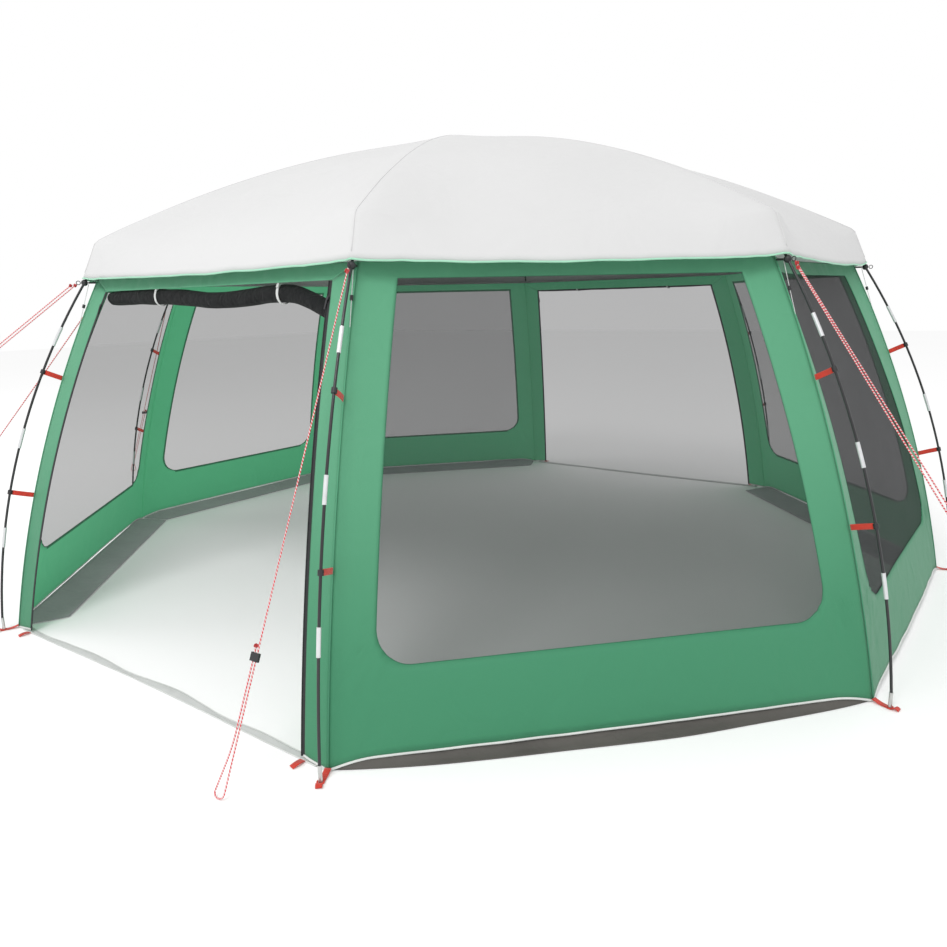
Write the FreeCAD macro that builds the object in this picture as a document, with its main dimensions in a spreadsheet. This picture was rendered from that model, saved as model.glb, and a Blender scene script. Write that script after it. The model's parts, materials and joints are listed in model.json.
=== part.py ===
import FreeCAD, Part
import math
import os
import Sketcher

# Eight-sided screen house, in millimetres.
# Origin: middle of the ground plane. +Z up, the front door faces -Y, +X is the right-hand side.
# Corners 1 to 8 run anticlockwise seen from above, from the front door's left-hand corner.

Vector = FreeCAD.Vector
Placement = FreeCAD.Placement
Rotation = FreeCAD.Rotation
UP = Vector(0, 0, 1)
QUARTER_TURN_X = Placement(Vector(), Rotation(Vector(1, 0, 0), 90))
QUARTER_TURN_Y = Placement(Vector(), Rotation(Vector(0, 1, 0), 90))
HALF_TURN_X = Placement(Vector(), Rotation(Vector(1, 0, 0), 180))

DIMENSIONS = {
    # plan: half of the angle that a side takes up, seen from the middle
    "door_half_angle": 24.5,
    "window_half_angle": 22.75,
    # poles
    "pole_radius": 5,
    "ferrule_radius": 7,
    "ferrule_length": 90,
    "socket_clearance": 0.4,
    "foot_reach": 2500,
    "foot_tip_height": 60,
    "foot_tip_radius": 6.5,
    "eave_reach": 1990,
    "eave_height": 1535,
    "leg_bulge": 95,
    "elbow_arm": 60,
    "hub_radius": 62,
    "hub_height": 20,
    "socket_depth": 28,
    # roof
    "hem_reach": 1998,
    "hem_height": 1550,
    "knee_reach": 1936,
    "knee_height": 1705,
    "apex_height": 2265,
    "roof_bulge": 100,
    "roof_thickness": 2,
    "pole_drop": 14,
    # walls
    "wall_foot_reach": 2440,
    "wall_foot_height": 4,
    "wall_top_reach": 1936,
    "wall_top_height": 1545,
    "wall_bulge": 60,
    "wall_thickness": 1.5,
    "mesh_thickness": 1,
    "seam_gap": 1.5,
    "strip_width": 140,
    "jamb_width": 110,
    "sill_height": 300,
    "lintel_height": 1488,
    "window_corner": 120,
    # ground
    "flap_width": 180,
    "door_sill_width": 55,
    "ground_sheet_thickness": 2,
    # fittings
    "soffit_thickness": 1.5,
    "clip_radius": 9.5,
    "clip_length": 18,
    "low_clip_height": 630,
    "high_clip_height": 1150,
    "tab_height": 20,
    "tab_thickness": 2.5,
    "knob_radius": 14,
    "knob_drop": 6,
    "eave_bar_radius": 4,
    "ring_radius": 8,
    "ring_wire_radius": 1.6,
    "webbing_width": 26,
    "peg_hole_radius": 7.5,
    # doors
    "zip_tape_width": 12,
    "slider_width": 11,
    "slider_length": 16,
    "slider_depth": 4.5,
    "slider_top_height": 1425,
    "pull_width": 7,
    "pull_length": 34,
    "pull_thickness": 1.6,
    "roll_radius": 33,
    "tie_width": 13,
    "tie_thickness": 1.8,
    # ropes
    "rope_radius": 2.5,
    "strand_spacing": 12,
    "loop_width": 44,
    "loop_neck": 150,
    "tensioner_width": 34,
    "tensioner_length": 26,
    "tensioner_depth": 8,
    "elastic_radius": 1.25,
    "toggle_radius": 6,
    "toggle_length": 16,
}

doc = FreeCAD.newDocument("ScreenHouse")
sheet = doc.addObject("Spreadsheet::Sheet", "Dimensions")
for row, (alias, value) in enumerate(DIMENSIONS.items(), start=1):
    sheet.set(f"A{row}", alias)
    sheet.set(f"B{row}", str(value))
    sheet.setAlias(f"B{row}", alias)
doc.recompute()

NODES = []


def size(alias):
    """Value of one driving dimension, read back from the sheet."""
    return float(getattr(sheet, alias))


def node(name, thing):
    """Register a sub-part under the name of its file."""
    thing.Label = name
    NODES.append(thing)
    return thing


def bind(thing, **formulas):
    """Bind sizes of a document object to the sheet; names in a formula are aliases."""
    for field, formula in formulas.items():
        thing.setExpression(field, formula)
    return thing


def cell(alias):
    return f"Dimensions.{alias}"


# ---------------------------------------------------------------------------
# geometry shared by poles, seams and ridges


class Bow:
    """Circular arc over a chord in the (reach, height) half plane, bulging away from the axis."""

    def __init__(self, low, high, bulge):
        chord = math.dist(low, high)
        outward = ((high[1] - low[1]) / chord, (low[0] - high[0]) / chord)
        self.radius = (chord * chord / 4 + bulge * bulge) / (2 * bulge)
        back = self.radius - bulge
        self.centre = (
            (low[0] + high[0]) / 2 - outward[0] * back,
            (low[1] + high[1]) / 2 - outward[1] * back,
        )

    def tilt(self, height):
        """Elevation of the arc's outward normal at a height, in radians."""
        return math.asin((height - self.centre[1]) / self.radius)

    def reach(self, height):
        return self.centre[0] + self.radius * math.cos(self.tilt(height))

    def tilt_at_reach(self, reach):
        return math.acos((reach - self.centre[0]) / self.radius)

    def height(self, reach):
        return self.centre[1] + self.radius * math.sin(self.tilt_at_reach(reach))

    def at(self, tilt):
        """Point (reach, height) of the arc whose normal has this elevation."""
        return (
            self.centre[0] + self.radius * math.cos(tilt),
            self.centre[1] + self.radius * math.sin(tilt),
        )

    def sunk(self, depth):
        """The same arc, moved towards its centre."""
        twin = Bow.__new__(Bow)
        twin.radius = self.radius - depth
        twin.centre = self.centre
        return twin


LEG = Bow(
    (size("foot_reach"), size("foot_tip_height")),
    (size("eave_reach"), size("eave_height")),
    size("leg_bulge"),
)
SEAM = Bow(
    (size("wall_foot_reach"), size("wall_foot_height")),
    (size("wall_top_reach"), size("wall_top_height")),
    size("wall_bulge"),
)
RIDGE = Bow((size("knee_reach"), size("knee_height")), (0, size("apex_height")), size("roof_bulge"))
RAFTER = RIDGE.sunk(size("pole_drop"))


def corner_angles():
    door = size("door_half_angle")
    window = 2 * size("window_half_angle")
    front_right = 270 + door
    right_front = front_right + window
    right_back = 720 - right_front
    back_right = right_back + window
    return [
        270 - door,
        front_right,
        right_front,
        right_back % 360,
        back_right % 360,
        (back_right + 2 * door) % 360,
        (right_front - 180) % 360,
        (right_back - 180) % 360,
    ]


CORNERS = corner_angles()
SIDE_NAMES = ["front", "front_right", "right", "back_right", "back", "back_left", "left", "front_left"]
DOORS = ("front", "back")


class Side:
    """One side of the octagon: local X points outwards, local Y runs along it, Z is up."""

    def __init__(self, index):
        start = CORNERS[index]
        span = (CORNERS[(index + 1) % 8] - start) % 360
        self.name = SIDE_NAMES[index]
        self.middle = start + span / 2
        self.half = math.radians(span / 2)
        self.placement = Placement(Vector(0, 0, 0), Rotation(UP, self.middle))

    def seam(self, height):
        """Half of the side's width at a height of the wall."""
        return SEAM.reach(height) * math.sin(self.half)

    def wall(self, height):
        """Distance from the axis to the wall's outer face at the middle of the side."""
        return SEAM.reach(height) * math.cos(self.half)

    def lean(self, height):
        """Elevation of the wall's outward normal, in radians."""
        return math.atan(math.tan(SEAM.tilt(height)) * math.cos(self.half))


SIDES = [Side(index) for index in range(8)]


def radial(corner_angle, reach, height, tilt=0.0):
    """Placement in a corner's upright plane: X outwards along the tilted normal, Z along the pole."""
    lean = Placement(Vector(reach, 0, height), Rotation(Vector(0, 1, 0), -math.degrees(tilt)))
    return Placement(Vector(0, 0, 0), Rotation(UP, corner_angle)).multiply(lean)


def local(placement, x, y, z):
    return placement.multiply(Placement(Vector(x, y, z), Rotation()))


def compound(name, parts):
    group = doc.addObject("Part::Compound", name)
    group.Links = parts
    return node(name, group)


def arc_bar(name, corner_angle, bow, low_tilt, high_tilt, tube_formula):
    """Round bar bent to part of an arc that lies in a corner's upright plane."""
    bar = doc.addObject("Part::Torus", name)
    bar.Radius1 = bow.radius
    bar.Angle3 = math.degrees(high_tilt - low_tilt)
    bind(bar, Radius2=tube_formula)
    turn = Placement(Vector(0, 0, 0), Rotation(UP, corner_angle))
    stand = Placement(Vector(bow.centre[0], 0, bow.centre[1]), Rotation(Vector(1, 0, 0), 90))
    start = Placement(Vector(0, 0, 0), Rotation(UP, math.degrees(low_tilt)))
    bar.Placement = turn.multiply(stand).multiply(start)
    return bar


def cylinder(name, placement, radius, height):
    """Part::Cylinder along local Z; radius and height are formulas."""
    bar = bind(doc.addObject("Part::Cylinder", name), Radius=radius, Height=height)
    bar.Placement = placement
    return bar


def box(name, placement, length, width, height):
    """Part::Box from its placement's corner; the three sizes are formulas."""
    block = bind(doc.addObject("Part::Box", name), Length=length, Width=width, Height=height)
    block.Placement = placement
    return block


def cut(name, base, tool):
    result = doc.addObject("Part::Cut", name)
    result.Base = base
    result.Tool = tool
    return result


def feature(name, shape, placement=None):
    """Shape built by Part's own functions, for cloth and cords; the placement comes last."""
    thing = doc.addObject("Part::Feature", name)
    thing.Shape = shape
    if placement is not None:
        thing.Placement = placement
    return thing


# ---------------------------------------------------------------------------
# frame: legs, roof poles, elbows, hub and feet


def elbow_point():
    """Where a leg's arc meets a roof pole's arc, found by halving."""
    low = size("eave_height")
    high = size("knee_height")
    for _ in range(40):
        height = (low + high) / 2
        if RAFTER.height(LEG.reach(height)) > height:
            low = height
        else:
            high = height
    return LEG.reach(low), low


ELBOW = elbow_point()
FERRULE_HEIGHTS = (430, 865, 1300)


def leg_pole(number, corner_angle):
    """Four pole sections, which meet inside the ferrules."""
    half_gap = 0.5 / LEG.radius
    joints = [LEG.tilt(height) for height in FERRULE_HEIGHTS]
    start = LEG.tilt(size("foot_tip_height"))
    end = LEG.tilt(ELBOW[1]) - (size("elbow_arm") + 1) / LEG.radius
    stops = [start] + joints + [end]
    sections = []
    for index in range(len(stops) - 1):
        name = f"LegSection{number}_{index}"
        low = stops[index] + half_gap
        high = stops[index + 1] - half_gap
        sections.append(arc_bar(name, corner_angle, LEG, low, high, cell("pole_radius")))
    return compound(f"leg_pole_{number}", sections)


def ferrules():
    sleeves = []
    half = size("ferrule_length") / 2 / LEG.radius
    bore = f"{cell('pole_radius')} + {cell('socket_clearance')}"
    for number, corner_angle in enumerate(CORNERS, start=1):
        for index, height in enumerate(FERRULE_HEIGHTS):
            tilt = LEG.tilt(height)
            span = (tilt - half, tilt + half)
            outer = arc_bar(f"FerruleOuter{number}_{index}", corner_angle, LEG, *span, cell("ferrule_radius"))
            inner = arc_bar(f"FerruleBore{number}_{index}", corner_angle, LEG, *span, bore)
            sleeves.append(cut(f"Ferrule{number}_{index}", outer, inner))
    return compound("pole_ferrules", sleeves)


def roof_poles():
    inner = RAFTER.tilt_at_reach(size("hub_radius") - size("socket_depth") + 2)
    outer = RAFTER.tilt_at_reach(ELBOW[0]) + (size("elbow_arm") + 1) / RAFTER.radius
    bars = []
    for number, corner_angle in enumerate(CORNERS, start=1):
        bars.append(arc_bar(f"RoofPole{number}", corner_angle, RAFTER, outer, inner, cell("pole_radius")))
    return compound("roof_poles", bars)


def elbows():
    """Pre-bent shoulder pieces: two sleeves and the rounded bend between them."""
    leg_tilt = LEG.tilt(ELBOW[1]) - size("elbow_arm") / 2 / LEG.radius
    roof_tilt = RAFTER.tilt_at_reach(ELBOW[0]) + size("elbow_arm") / 2 / RAFTER.radius
    pieces = []
    for number, corner_angle in enumerate(CORNERS, start=1):
        bend = bind(doc.addObject("Part::Sphere", f"ElbowBend{number}"), Radius=cell("ferrule_radius"))
        bend.Placement = radial(corner_angle, *ELBOW)
        down = radial(corner_angle, *ELBOW, leg_tilt).multiply(HALF_TURN_X)
        lower = cylinder(f"ElbowLower{number}", down, cell("ferrule_radius"), cell("elbow_arm"))
        over = radial(corner_angle, *ELBOW, roof_tilt)
        upper = cylinder(f"ElbowUpper{number}", over, cell("ferrule_radius"), cell("elbow_arm"))
        joined = doc.addObject("Part::MultiFuse", f"Elbow{number}")
        joined.Shapes = [bend, lower, upper]
        pieces.append(joined)
    return compound("shoulder_elbows", pieces)


def crown_hub():
    """Moulded hub with eight radial sockets."""
    socket_tilt = RAFTER.tilt_at_reach(size("hub_radius"))
    middle = RAFTER.height(size("hub_radius"))
    disc = cylinder("HubDisc", Placement(), cell("hub_radius"), cell("hub_height"))
    disc.Placement = Placement(Vector(0, 0, middle - size("hub_height") / 2), Rotation())
    bores = []
    for number, corner_angle in enumerate(CORNERS, start=1):
        mouth = radial(corner_angle, size("hub_radius") + 2, middle, socket_tilt)
        bore = cylinder(f"HubBore{number}", mouth, f"{cell('pole_radius')} + {cell('socket_clearance')}",
                        f"{cell('socket_depth')} + 2")
        bores.append(bore)
    tools = doc.addObject("Part::Compound", "HubBores")
    tools.Links = bores
    drilled = cut("HubDrilled", disc, tools)
    doc.recompute()
    rims = [index for index, edge in enumerate(drilled.Shape.Edges, start=1) if rim(edge)]
    rounded = doc.addObject("Part::Fillet", "HubRounded")
    rounded.Base = drilled
    rounded.Edges = [(index, 4.0, 4.0) for index in rims]
    return node("crown_hub", rounded)


def rim(edge):
    """True for the hub's two outer circles."""
    return isinstance(edge.Curve, Part.Circle) and abs(edge.Curve.Radius - size("hub_radius")) < 0.01


def foot_tips():
    tips = []
    for number, corner_angle in enumerate(CORNERS, start=1):
        place = radial(corner_angle, size("foot_reach"), 0)
        tips.append(cylinder(f"FootTip{number}", place, cell("foot_tip_radius"), cell("foot_tip_height")))
    return compound("foot_tips", tips)


# ---------------------------------------------------------------------------
# cloth: flat patterns are cut out of thin sheets that follow the seams' arc


def outline(*stations):
    """Face bounded by straight lines and arcs. An arc is a (middle, end) pair of points."""
    edges = []
    start = stations[0]
    here = start
    for station in stations[1:] + (start,):
        if isinstance(station, tuple):
            edges.append(Part.Arc(here, station[0], station[1]).toShape())
            here = station[1]
        elif here.distanceToPoint(station) > 1e-6:
            edges.append(Part.LineSegment(here, station).toShape())
            here = station
    return Part.Face(Part.Wire(edges))


def arc_sheet(side, bow, low, high, thickness, half_width):
    """Sheet over one side: the arc between two heights, thickened inwards, drawn along the side."""
    squeeze = math.cos(side.half)
    heights = (low, (low + high) / 2, high)
    skin = []
    lining = []
    for height in heights:
        tilt = bow.tilt(height)
        skin.append(Vector(bow.reach(height) * squeeze, -half_width, height))
        lining.append(skin[-1] - Vector(math.cos(tilt), 0, math.sin(tilt)) * thickness)
    face = outline(skin[0], (skin[1], skin[2]), lining[2], (lining[1], lining[0]))
    return face.extrude(Vector(0, 2 * half_width, 0))


def wall_sheet(side, thickness, depth=0.0):
    bow = SEAM.sunk(depth)
    low = size("wall_foot_height")
    high = size("wall_top_height")
    return arc_sheet(side, bow, low, high, thickness, side.seam(low) + 50)


def edge_points(side, inset, low, high, sign):
    """Three points of a line that runs beside the seam, inset from it, in the side's front view."""
    heights = (low, (low + high) / 2, high)
    return [Vector(0, sign * (side.seam(height) - inset), height) for height in heights]


def wall_cut(sheet_shape, *stations):
    """Part of a wall sheet inside an outline drawn in the side's front view."""
    prism = outline(*stations).extrude(Vector(3000, 0, 0))
    return sheet_shape.common(prism).Solids[0]


def strip(side, sheet_shape, sign, width, low, high):
    """Upright strip along one seam."""
    outer = edge_points(side, size("seam_gap"), low, high, sign)
    inner = edge_points(side, width, low, high, sign)
    return wall_cut(sheet_shape, outer[0], (outer[1], outer[2]), inner[2], (inner[1], inner[0]))


def band(side, sheet_shape, low, high):
    """Level band from seam to seam."""
    left = edge_points(side, size("seam_gap"), low, high, -1)
    right = edge_points(side, size("seam_gap"), low, high, 1)
    return wall_cut(sheet_shape, left[0], right[0], (right[1], right[2]), left[2], (left[1], left[0]))


def rounded_sill(side, inset, low, radius):
    """The window's lower edge with its two rounded corners, from right to left."""
    top = low + radius
    half = side.seam(top) - inset
    diagonal = radius * (1 - math.sqrt(0.5))
    right = (Vector(0, half - diagonal, low + diagonal), Vector(0, half - radius, low))
    left = (Vector(0, -half + diagonal, low + diagonal), Vector(0, -half, top))
    return [Vector(0, half, top), right, Vector(0, -half + radius, low), left]


def window_wall(side):
    """Frame of a window: skirt with rounded corners, two strips and the band under the roof."""
    cloth = wall_sheet(side, size("wall_thickness"))
    gap = size("seam_gap")
    foot = size("wall_foot_height")
    shoulder = size("sill_height") + size("window_corner")
    lintel = size("lintel_height")
    left = edge_points(side, gap, foot, shoulder, -1)
    right = edge_points(side, gap, foot, shoulder, 1)
    sill = rounded_sill(side, size("strip_width"), size("sill_height"), size("window_corner"))
    skirt = wall_cut(cloth, left[0], right[0], (right[1], right[2]), *sill, left[2], (left[1], left[0]))
    strips = [strip(side, cloth, sign, size("strip_width"), shoulder + gap, lintel - gap) for sign in (-1, 1)]
    lintel_band = band(side, cloth, lintel, size("wall_top_height"))
    return Part.Compound([skirt, *strips, lintel_band])


def door_wall(side):
    """Two jamb strips and the band under the roof; the doorway between them is open."""
    cloth = wall_sheet(side, size("wall_thickness"))
    lintel = size("lintel_height")
    top = lintel - size("seam_gap")
    jambs = [strip(side, cloth, sign, size("jamb_width"), size("wall_foot_height"), top) for sign in (-1, 1)]
    return Part.Compound([*jambs, band(side, cloth, lintel, size("wall_top_height"))])


def window_mesh(side):
    gap = size("seam_gap")
    inset = size("strip_width") + gap
    radius = size("window_corner")
    low = size("sill_height") + gap
    top = size("lintel_height") - gap
    cloth = wall_sheet(side, size("mesh_thickness"))
    left = edge_points(side, inset, low + radius, top, -1)
    right = edge_points(side, inset, low + radius, top, 1)
    sill = rounded_sill(side, inset, low, radius)
    return wall_cut(cloth, *sill, (left[1], left[2]), right[2], (right[1], right[0]))


def walls():
    for side in SIDES:
        shape = door_wall(side) if side.name in DOORS else window_wall(side)
        node(f"wall_{side.name}", feature(f"Wall_{side.name}", shape, side.placement))
        if side.name not in DOORS:
            mesh = feature(f"Mesh_{side.name}", window_mesh(side), side.placement)
            node(f"window_mesh_{side.name}", mesh)


def plan_wedge(side, inner, outer, low, high):
    """Upright prism between two distances from the axis, mitred at the side's two corner planes."""
    slope = math.tan(side.half)
    gap = size("seam_gap") / math.cos(side.half)
    near = inner * slope - gap
    far = outer * slope - gap
    face = outline(
        Vector(inner, -near, low), Vector(outer, -far, low), Vector(outer, far, low), Vector(inner, near, low)
    )
    return face.extrude(Vector(0, 0, high - low))


def roof_gore(side):
    """One gore of the dome, from the shoulder to the crown."""
    bow = Bow(
        (size("knee_reach"), size("knee_height") + 1), (0, size("apex_height")), size("roof_bulge")
    )
    crown = 12
    top = bow.height(crown)
    cloth = arc_sheet(side, bow, size("knee_height") + 1, top, size("roof_thickness"), 900)
    wedge = plan_wedge(side, 10, size("knee_reach"), 1600, 2300)
    return cloth.common(wedge).Solids[0]


def roof_skirt(side):
    """The steep strip between the shoulder and the hem."""
    squeeze = math.cos(side.half)
    low = (size("hem_reach") * squeeze, size("hem_height"))
    high = (size("knee_reach") * squeeze + 1, size("knee_height") - 2.5)
    thick = size("roof_thickness")
    face = outline(
        Vector(low[0], -900, low[1]),
        Vector(high[0], -900, high[1]),
        Vector(high[0] - thick, -900, high[1]),
        Vector(low[0] - thick, -900, low[1]),
    )
    cloth = face.extrude(Vector(0, 1800, 0))
    wedge = plan_wedge(side, 1000, size("hem_reach"), 1400, 1800)
    return cloth.common(wedge).Solids[0]


def soffit(side):
    """Level strip between the hem and the walls, notched where the two poles pass."""
    squeeze = math.cos(side.half)
    low = size("wall_top_height") + 1.2
    inner = (size("wall_top_reach") + 2) * squeeze
    outer = (size("hem_reach") - 5) * squeeze
    panel = plan_wedge(side, inner, outer, low, low + size("soffit_thickness"))
    pole = LEG.reach(low)
    for sign in (-1, 1):
        centre = Vector(pole * squeeze, sign * pole * math.sin(side.half), low - 5)
        panel = panel.cut(Part.makeCylinder(size("pole_radius") + 3, 20, centre))
    return panel.Solids[0]


def roof():
    panels_of = (("roof_gores", roof_gore), ("roof_skirt", roof_skirt), ("roof_soffit", soffit))
    for name, maker in panels_of:
        panels = [feature(f"{name}_{side.name}", maker(side), side.placement) for side in SIDES]
        compound(name, panels)


def ground_cloth():
    """Mud flaps inside the window walls, and the sill tapes across the doorways."""
    thick = size("ground_sheet_thickness")
    flaps = []
    sills = []
    for side in SIDES:
        outer = size("wall_foot_reach") * math.cos(side.half) - 8
        if side.name in DOORS:
            shape = plan_wedge(side, outer - size("door_sill_width"), outer, 0, thick)
            sills.append(feature(f"Sill_{side.name}", shape, side.placement))
        else:
            shape = plan_wedge(side, outer - size("flap_width"), outer, 0, thick)
            flaps.append(feature(f"Flap_{side.name}", shape, side.placement))
    compound("mud_flaps", flaps)
    compound("door_sills", sills)


# ---------------------------------------------------------------------------
# fittings on the poles and at the feet


def pole_clips():
    """Hooks on the poles, each with a webbing tab sewn to the corner seam."""
    hooks = []
    tabs = []
    bore = f"{cell('pole_radius')} + {cell('socket_clearance')}"
    for number, corner_angle in enumerate(CORNERS, start=1):
        for level in ("low", "high"):
            height = size(f"{level}_clip_height")
            tilt = LEG.tilt(height)
            foot = local(radial(corner_angle, LEG.reach(height), height, tilt), 0, 0, -size("clip_length") / 2)
            outer = cylinder(f"ClipOuter{number}_{level}", foot, cell("clip_radius"), cell("clip_length"))
            inner = cylinder(f"ClipBore{number}_{level}", foot, bore, cell("clip_length"))
            hooks.append(cut(f"Clip{number}_{level}", outer, inner))
            span = (LEG.reach(height) - SEAM.reach(height)) * math.cos(tilt)
            tab_length = span - size("clip_radius") - 5
            start = local(radial(corner_angle, LEG.reach(height), height, tilt),
                          -span + 4, -size("tab_thickness") / 2, -size("tab_height") / 2)
            tabs.append(box(f"Tab{number}_{level}", start, f"{tab_length} mm",
                            cell("tab_thickness"), cell("tab_height")))
    compound("pole_clips", hooks)
    compound("clip_tabs", tabs)


def knob_centre():
    """Reach and height of the knob that clips round a pole just under the roof's hem."""
    height = size("eave_height") - size("knob_drop")
    return LEG.reach(height), height


def ring_reach():
    return knob_centre()[0] + size("knob_radius") + size("ring_radius") + 3


def eave_fittings():
    """Knob round each pole with a ring for the guy rope, and the bar that holds the wall's corner."""
    reach, height = knob_centre()
    tilt = LEG.tilt(height)
    bar_start = SEAM.reach(height) + 4
    bar_length = reach - size("knob_radius") - bar_start - 1
    bore = f"{cell('pole_radius')} + {cell('socket_clearance')}"
    knobs = []
    bars = []
    for number, corner_angle in enumerate(CORNERS, start=1):
        seat = radial(corner_angle, reach, height, tilt)
        ball = bind(doc.addObject("Part::Sphere", f"KnobBall{number}"), Radius=cell("knob_radius"))
        ball.Placement = seat
        through = local(seat, 0, 0, -size("knob_radius"))
        hole = cylinder(f"KnobBore{number}", through, bore, f"2 * {cell('knob_radius')}")
        knobs.append(cut(f"Knob{number}", ball, hole))
        ring = doc.addObject("Part::Torus", f"Ring{number}")
        bind(ring, Radius1=cell("ring_radius"), Radius2=cell("ring_wire_radius"))
        ring.Placement = radial(corner_angle, ring_reach(), height).multiply(QUARTER_TURN_X)
        knobs.append(ring)
        bar_place = radial(corner_angle, bar_start, height).multiply(QUARTER_TURN_Y)
        bars.append(cylinder(f"EaveBar{number}", bar_place, cell("eave_bar_radius"), f"{bar_length} mm"))
    compound("eave_knobs", knobs)
    compound("eave_bars", bars)


def foot_webbing():
    """Webbing from each corner seam to the pole's foot, with the hole that the tip stands in."""
    straps = []
    start = size("wall_foot_reach") + 4
    length = size("foot_reach") - start + 3 * size("peg_hole_radius")
    for number, corner_angle in enumerate(CORNERS, start=1):
        place = radial(corner_angle, start, 0)
        strap = box(f"Strap{number}", local(place, 0, -size("webbing_width") / 2, 0),
                    f"{length} mm", cell("webbing_width"), cell("ground_sheet_thickness"))
        hole_place = radial(corner_angle, size("foot_reach"), 0)
        hole = cylinder(f"StrapHole{number}", hole_place, cell("peg_hole_radius"), cell("ground_sheet_thickness"))
        straps.append(cut(f"StrapCut{number}", strap, hole))
    return compound("foot_webbing", straps)


def door_peg_loops():
    """Webbing tabs at both ends of each door sill."""
    loops = []
    for side in SIDES:
        if side.name not in DOORS:
            continue
        edge = side.seam(0) - size("jamb_width")
        reach = size("wall_foot_reach") * math.cos(side.half) + 2
        for sign in (-1, 1):
            place = local(side.placement, reach, sign * edge - size("webbing_width") / 2, 0)
            name = f"PegLoop_{side.name}_{'left' if sign < 0 else 'right'}"
            loops.append(box(name, place, f"2 * {cell('webbing_width')}", cell("webbing_width"),
                             cell("ground_sheet_thickness")))
    return compound("door_peg_loops", loops)


# ---------------------------------------------------------------------------
# doors: zip tapes, sliders, rolled-up panels and their ties


def zip_tapes():
    tapes = []
    for side in SIDES:
        if side.name not in DOORS:
            continue
        cloth = wall_sheet(side, size("wall_thickness"))
        low = size("wall_foot_height") + 6
        high = size("lintel_height") - 2
        inner = size("jamb_width") + size("zip_tape_width")
        for sign in (-1, 1):
            outer_edge = edge_points(side, size("jamb_width") + 0.5, low, high, sign)
            inner_edge = edge_points(side, inner, low, high, sign)
            shape = wall_cut(cloth, outer_edge[0], (outer_edge[1], outer_edge[2]),
                             inner_edge[2], (inner_edge[1], inner_edge[0]))
            tapes.append(feature(f"Tape_{side.name}_{sign}", shape, side.placement))
    return compound("zip_tapes", tapes)


def rectangle(sketch, width, height):
    """Rectangle centred on the sketch's origin, with its two sizes bound to the sheet."""
    half_width = 5
    half_height = 5
    points = [(-half_width, -half_height), (half_width, -half_height),
              (half_width, half_height), (-half_width, half_height)]
    for index in range(4):
        start = Vector(*points[index], 0)
        end = Vector(*points[(index + 1) % 4], 0)
        sketch.addGeometry(Part.LineSegment(start, end), False)
    for index in range(4):
        sketch.addConstraint(Sketcher.Constraint("Coincident", index, 2, (index + 1) % 4, 1))
    for index, kind in enumerate(("Horizontal", "Vertical", "Horizontal", "Vertical")):
        sketch.addConstraint(Sketcher.Constraint(kind, index))
    sketch.addConstraint(Sketcher.Constraint("Symmetric", 0, 1, 2, 1, -1, 1))
    for kind, line, value in (("DistanceX", 0, width), ("DistanceY", 1, height)):
        number = sketch.addConstraint(Sketcher.Constraint(kind, line, 1, line, 2, 10))
        sketch.setExpression(f"Constraints[{number}]", value)


def plane_of(body, role):
    return next(plane for plane in body.Origin.OriginFeatures if plane.Role == role)


def sketch_on(body, name, role):
    sketch = body.newObject("Sketcher::SketchObject", name)
    sketch.AttachmentSupport = [(plane_of(body, role), "")]
    sketch.MapMode = "FlatFace"
    return sketch


def zip_slider(side, sign):
    """Slider body on the tape's outer face, with its pull tab hanging in front."""
    tape_middle = size("jamb_width") + size("zip_tape_width") / 2
    height = size("slider_top_height")
    seat = Vector(side.wall(height) + 1.2, sign * (side.seam(height) - tape_middle), height)
    place = Placement(seat, Rotation(Vector(0, 1, 0), -math.degrees(side.lean(height))))
    hand = "left" if sign < 0 else "right"
    body = doc.addObject("PartDesign::Body", f"ZipSlider_{side.name}_{hand}")
    block_sketch = sketch_on(body, f"SliderFace_{side.name}_{hand}", "YZ_Plane")
    rectangle(block_sketch, cell("slider_width"), cell("slider_length"))
    block = body.newObject("PartDesign::Pad", f"SliderBlock_{side.name}_{hand}")
    block.Profile = block_sketch
    bind(block, Length=cell("slider_depth"))
    pull_sketch = sketch_on(body, f"PullFace_{side.name}_{hand}", "YZ_Plane")
    rectangle(pull_sketch, cell("pull_width"), cell("pull_length"))
    drop = (size("pull_length") + size("slider_length")) / 2 - 6
    pull_sketch.AttachmentOffset = Placement(Vector(0, -drop, size("slider_depth") - 0.2), Rotation())
    pull = body.newObject("PartDesign::Pad", f"Pull_{side.name}_{hand}")
    pull.Profile = pull_sketch
    bind(pull, Length=cell("pull_thickness"))
    body.Placement = side.placement.multiply(place)
    return node(f"zip_slider_{side.name}_{hand}", body)


def cord_path(points):
    """Straight runs joined by tangent arcs, each as large as its two runs allow."""
    edges = []
    radii = []
    here = points[0]
    for before, corner, after in zip(points, points[1:], points[2:]):
        back = before - corner
        ahead = after - corner
        shorter = min(back.Length, ahead.Length)
        turn = math.pi - back.getAngle(ahead)
        reach = 0.45 * shorter
        radius = reach / math.tan(turn / 2)
        back.normalize()
        ahead.normalize()
        start = corner + back * reach
        end = corner + ahead * reach
        bisector = (back + ahead).normalize()
        middle = corner + bisector * (radius / math.cos(turn / 2) - radius)
        edges.append(Part.LineSegment(here, start).toShape())
        edges.append(Part.Arc(start, middle, end).toShape())
        radii.append(radius)
        here = end
    edges.append(Part.LineSegment(here, points[-1]).toShape())
    return Part.Wire(edges), radii


def cord_tube(name, points, radius):
    """Round tube along a cord's path; prints its length, bend radii and volume check."""
    path, radii = cord_path(points)
    start = points[0]
    circle = Part.Circle(start, points[1] - points[0], radius)
    section = Part.Wire([circle.toShape()])
    shape = path.makePipeShell([section], True, True)
    if shape.Volume < 0:
        shape.reverse()
    ratio = shape.Volume / (math.pi * radius * radius * path.Length)
    print(f"{name}: length {path.Length:.1f}, bends {[round(value, 1) for value in radii]}, ratio {ratio:.4f}")
    return shape


TIE_SLACK = 3


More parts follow.
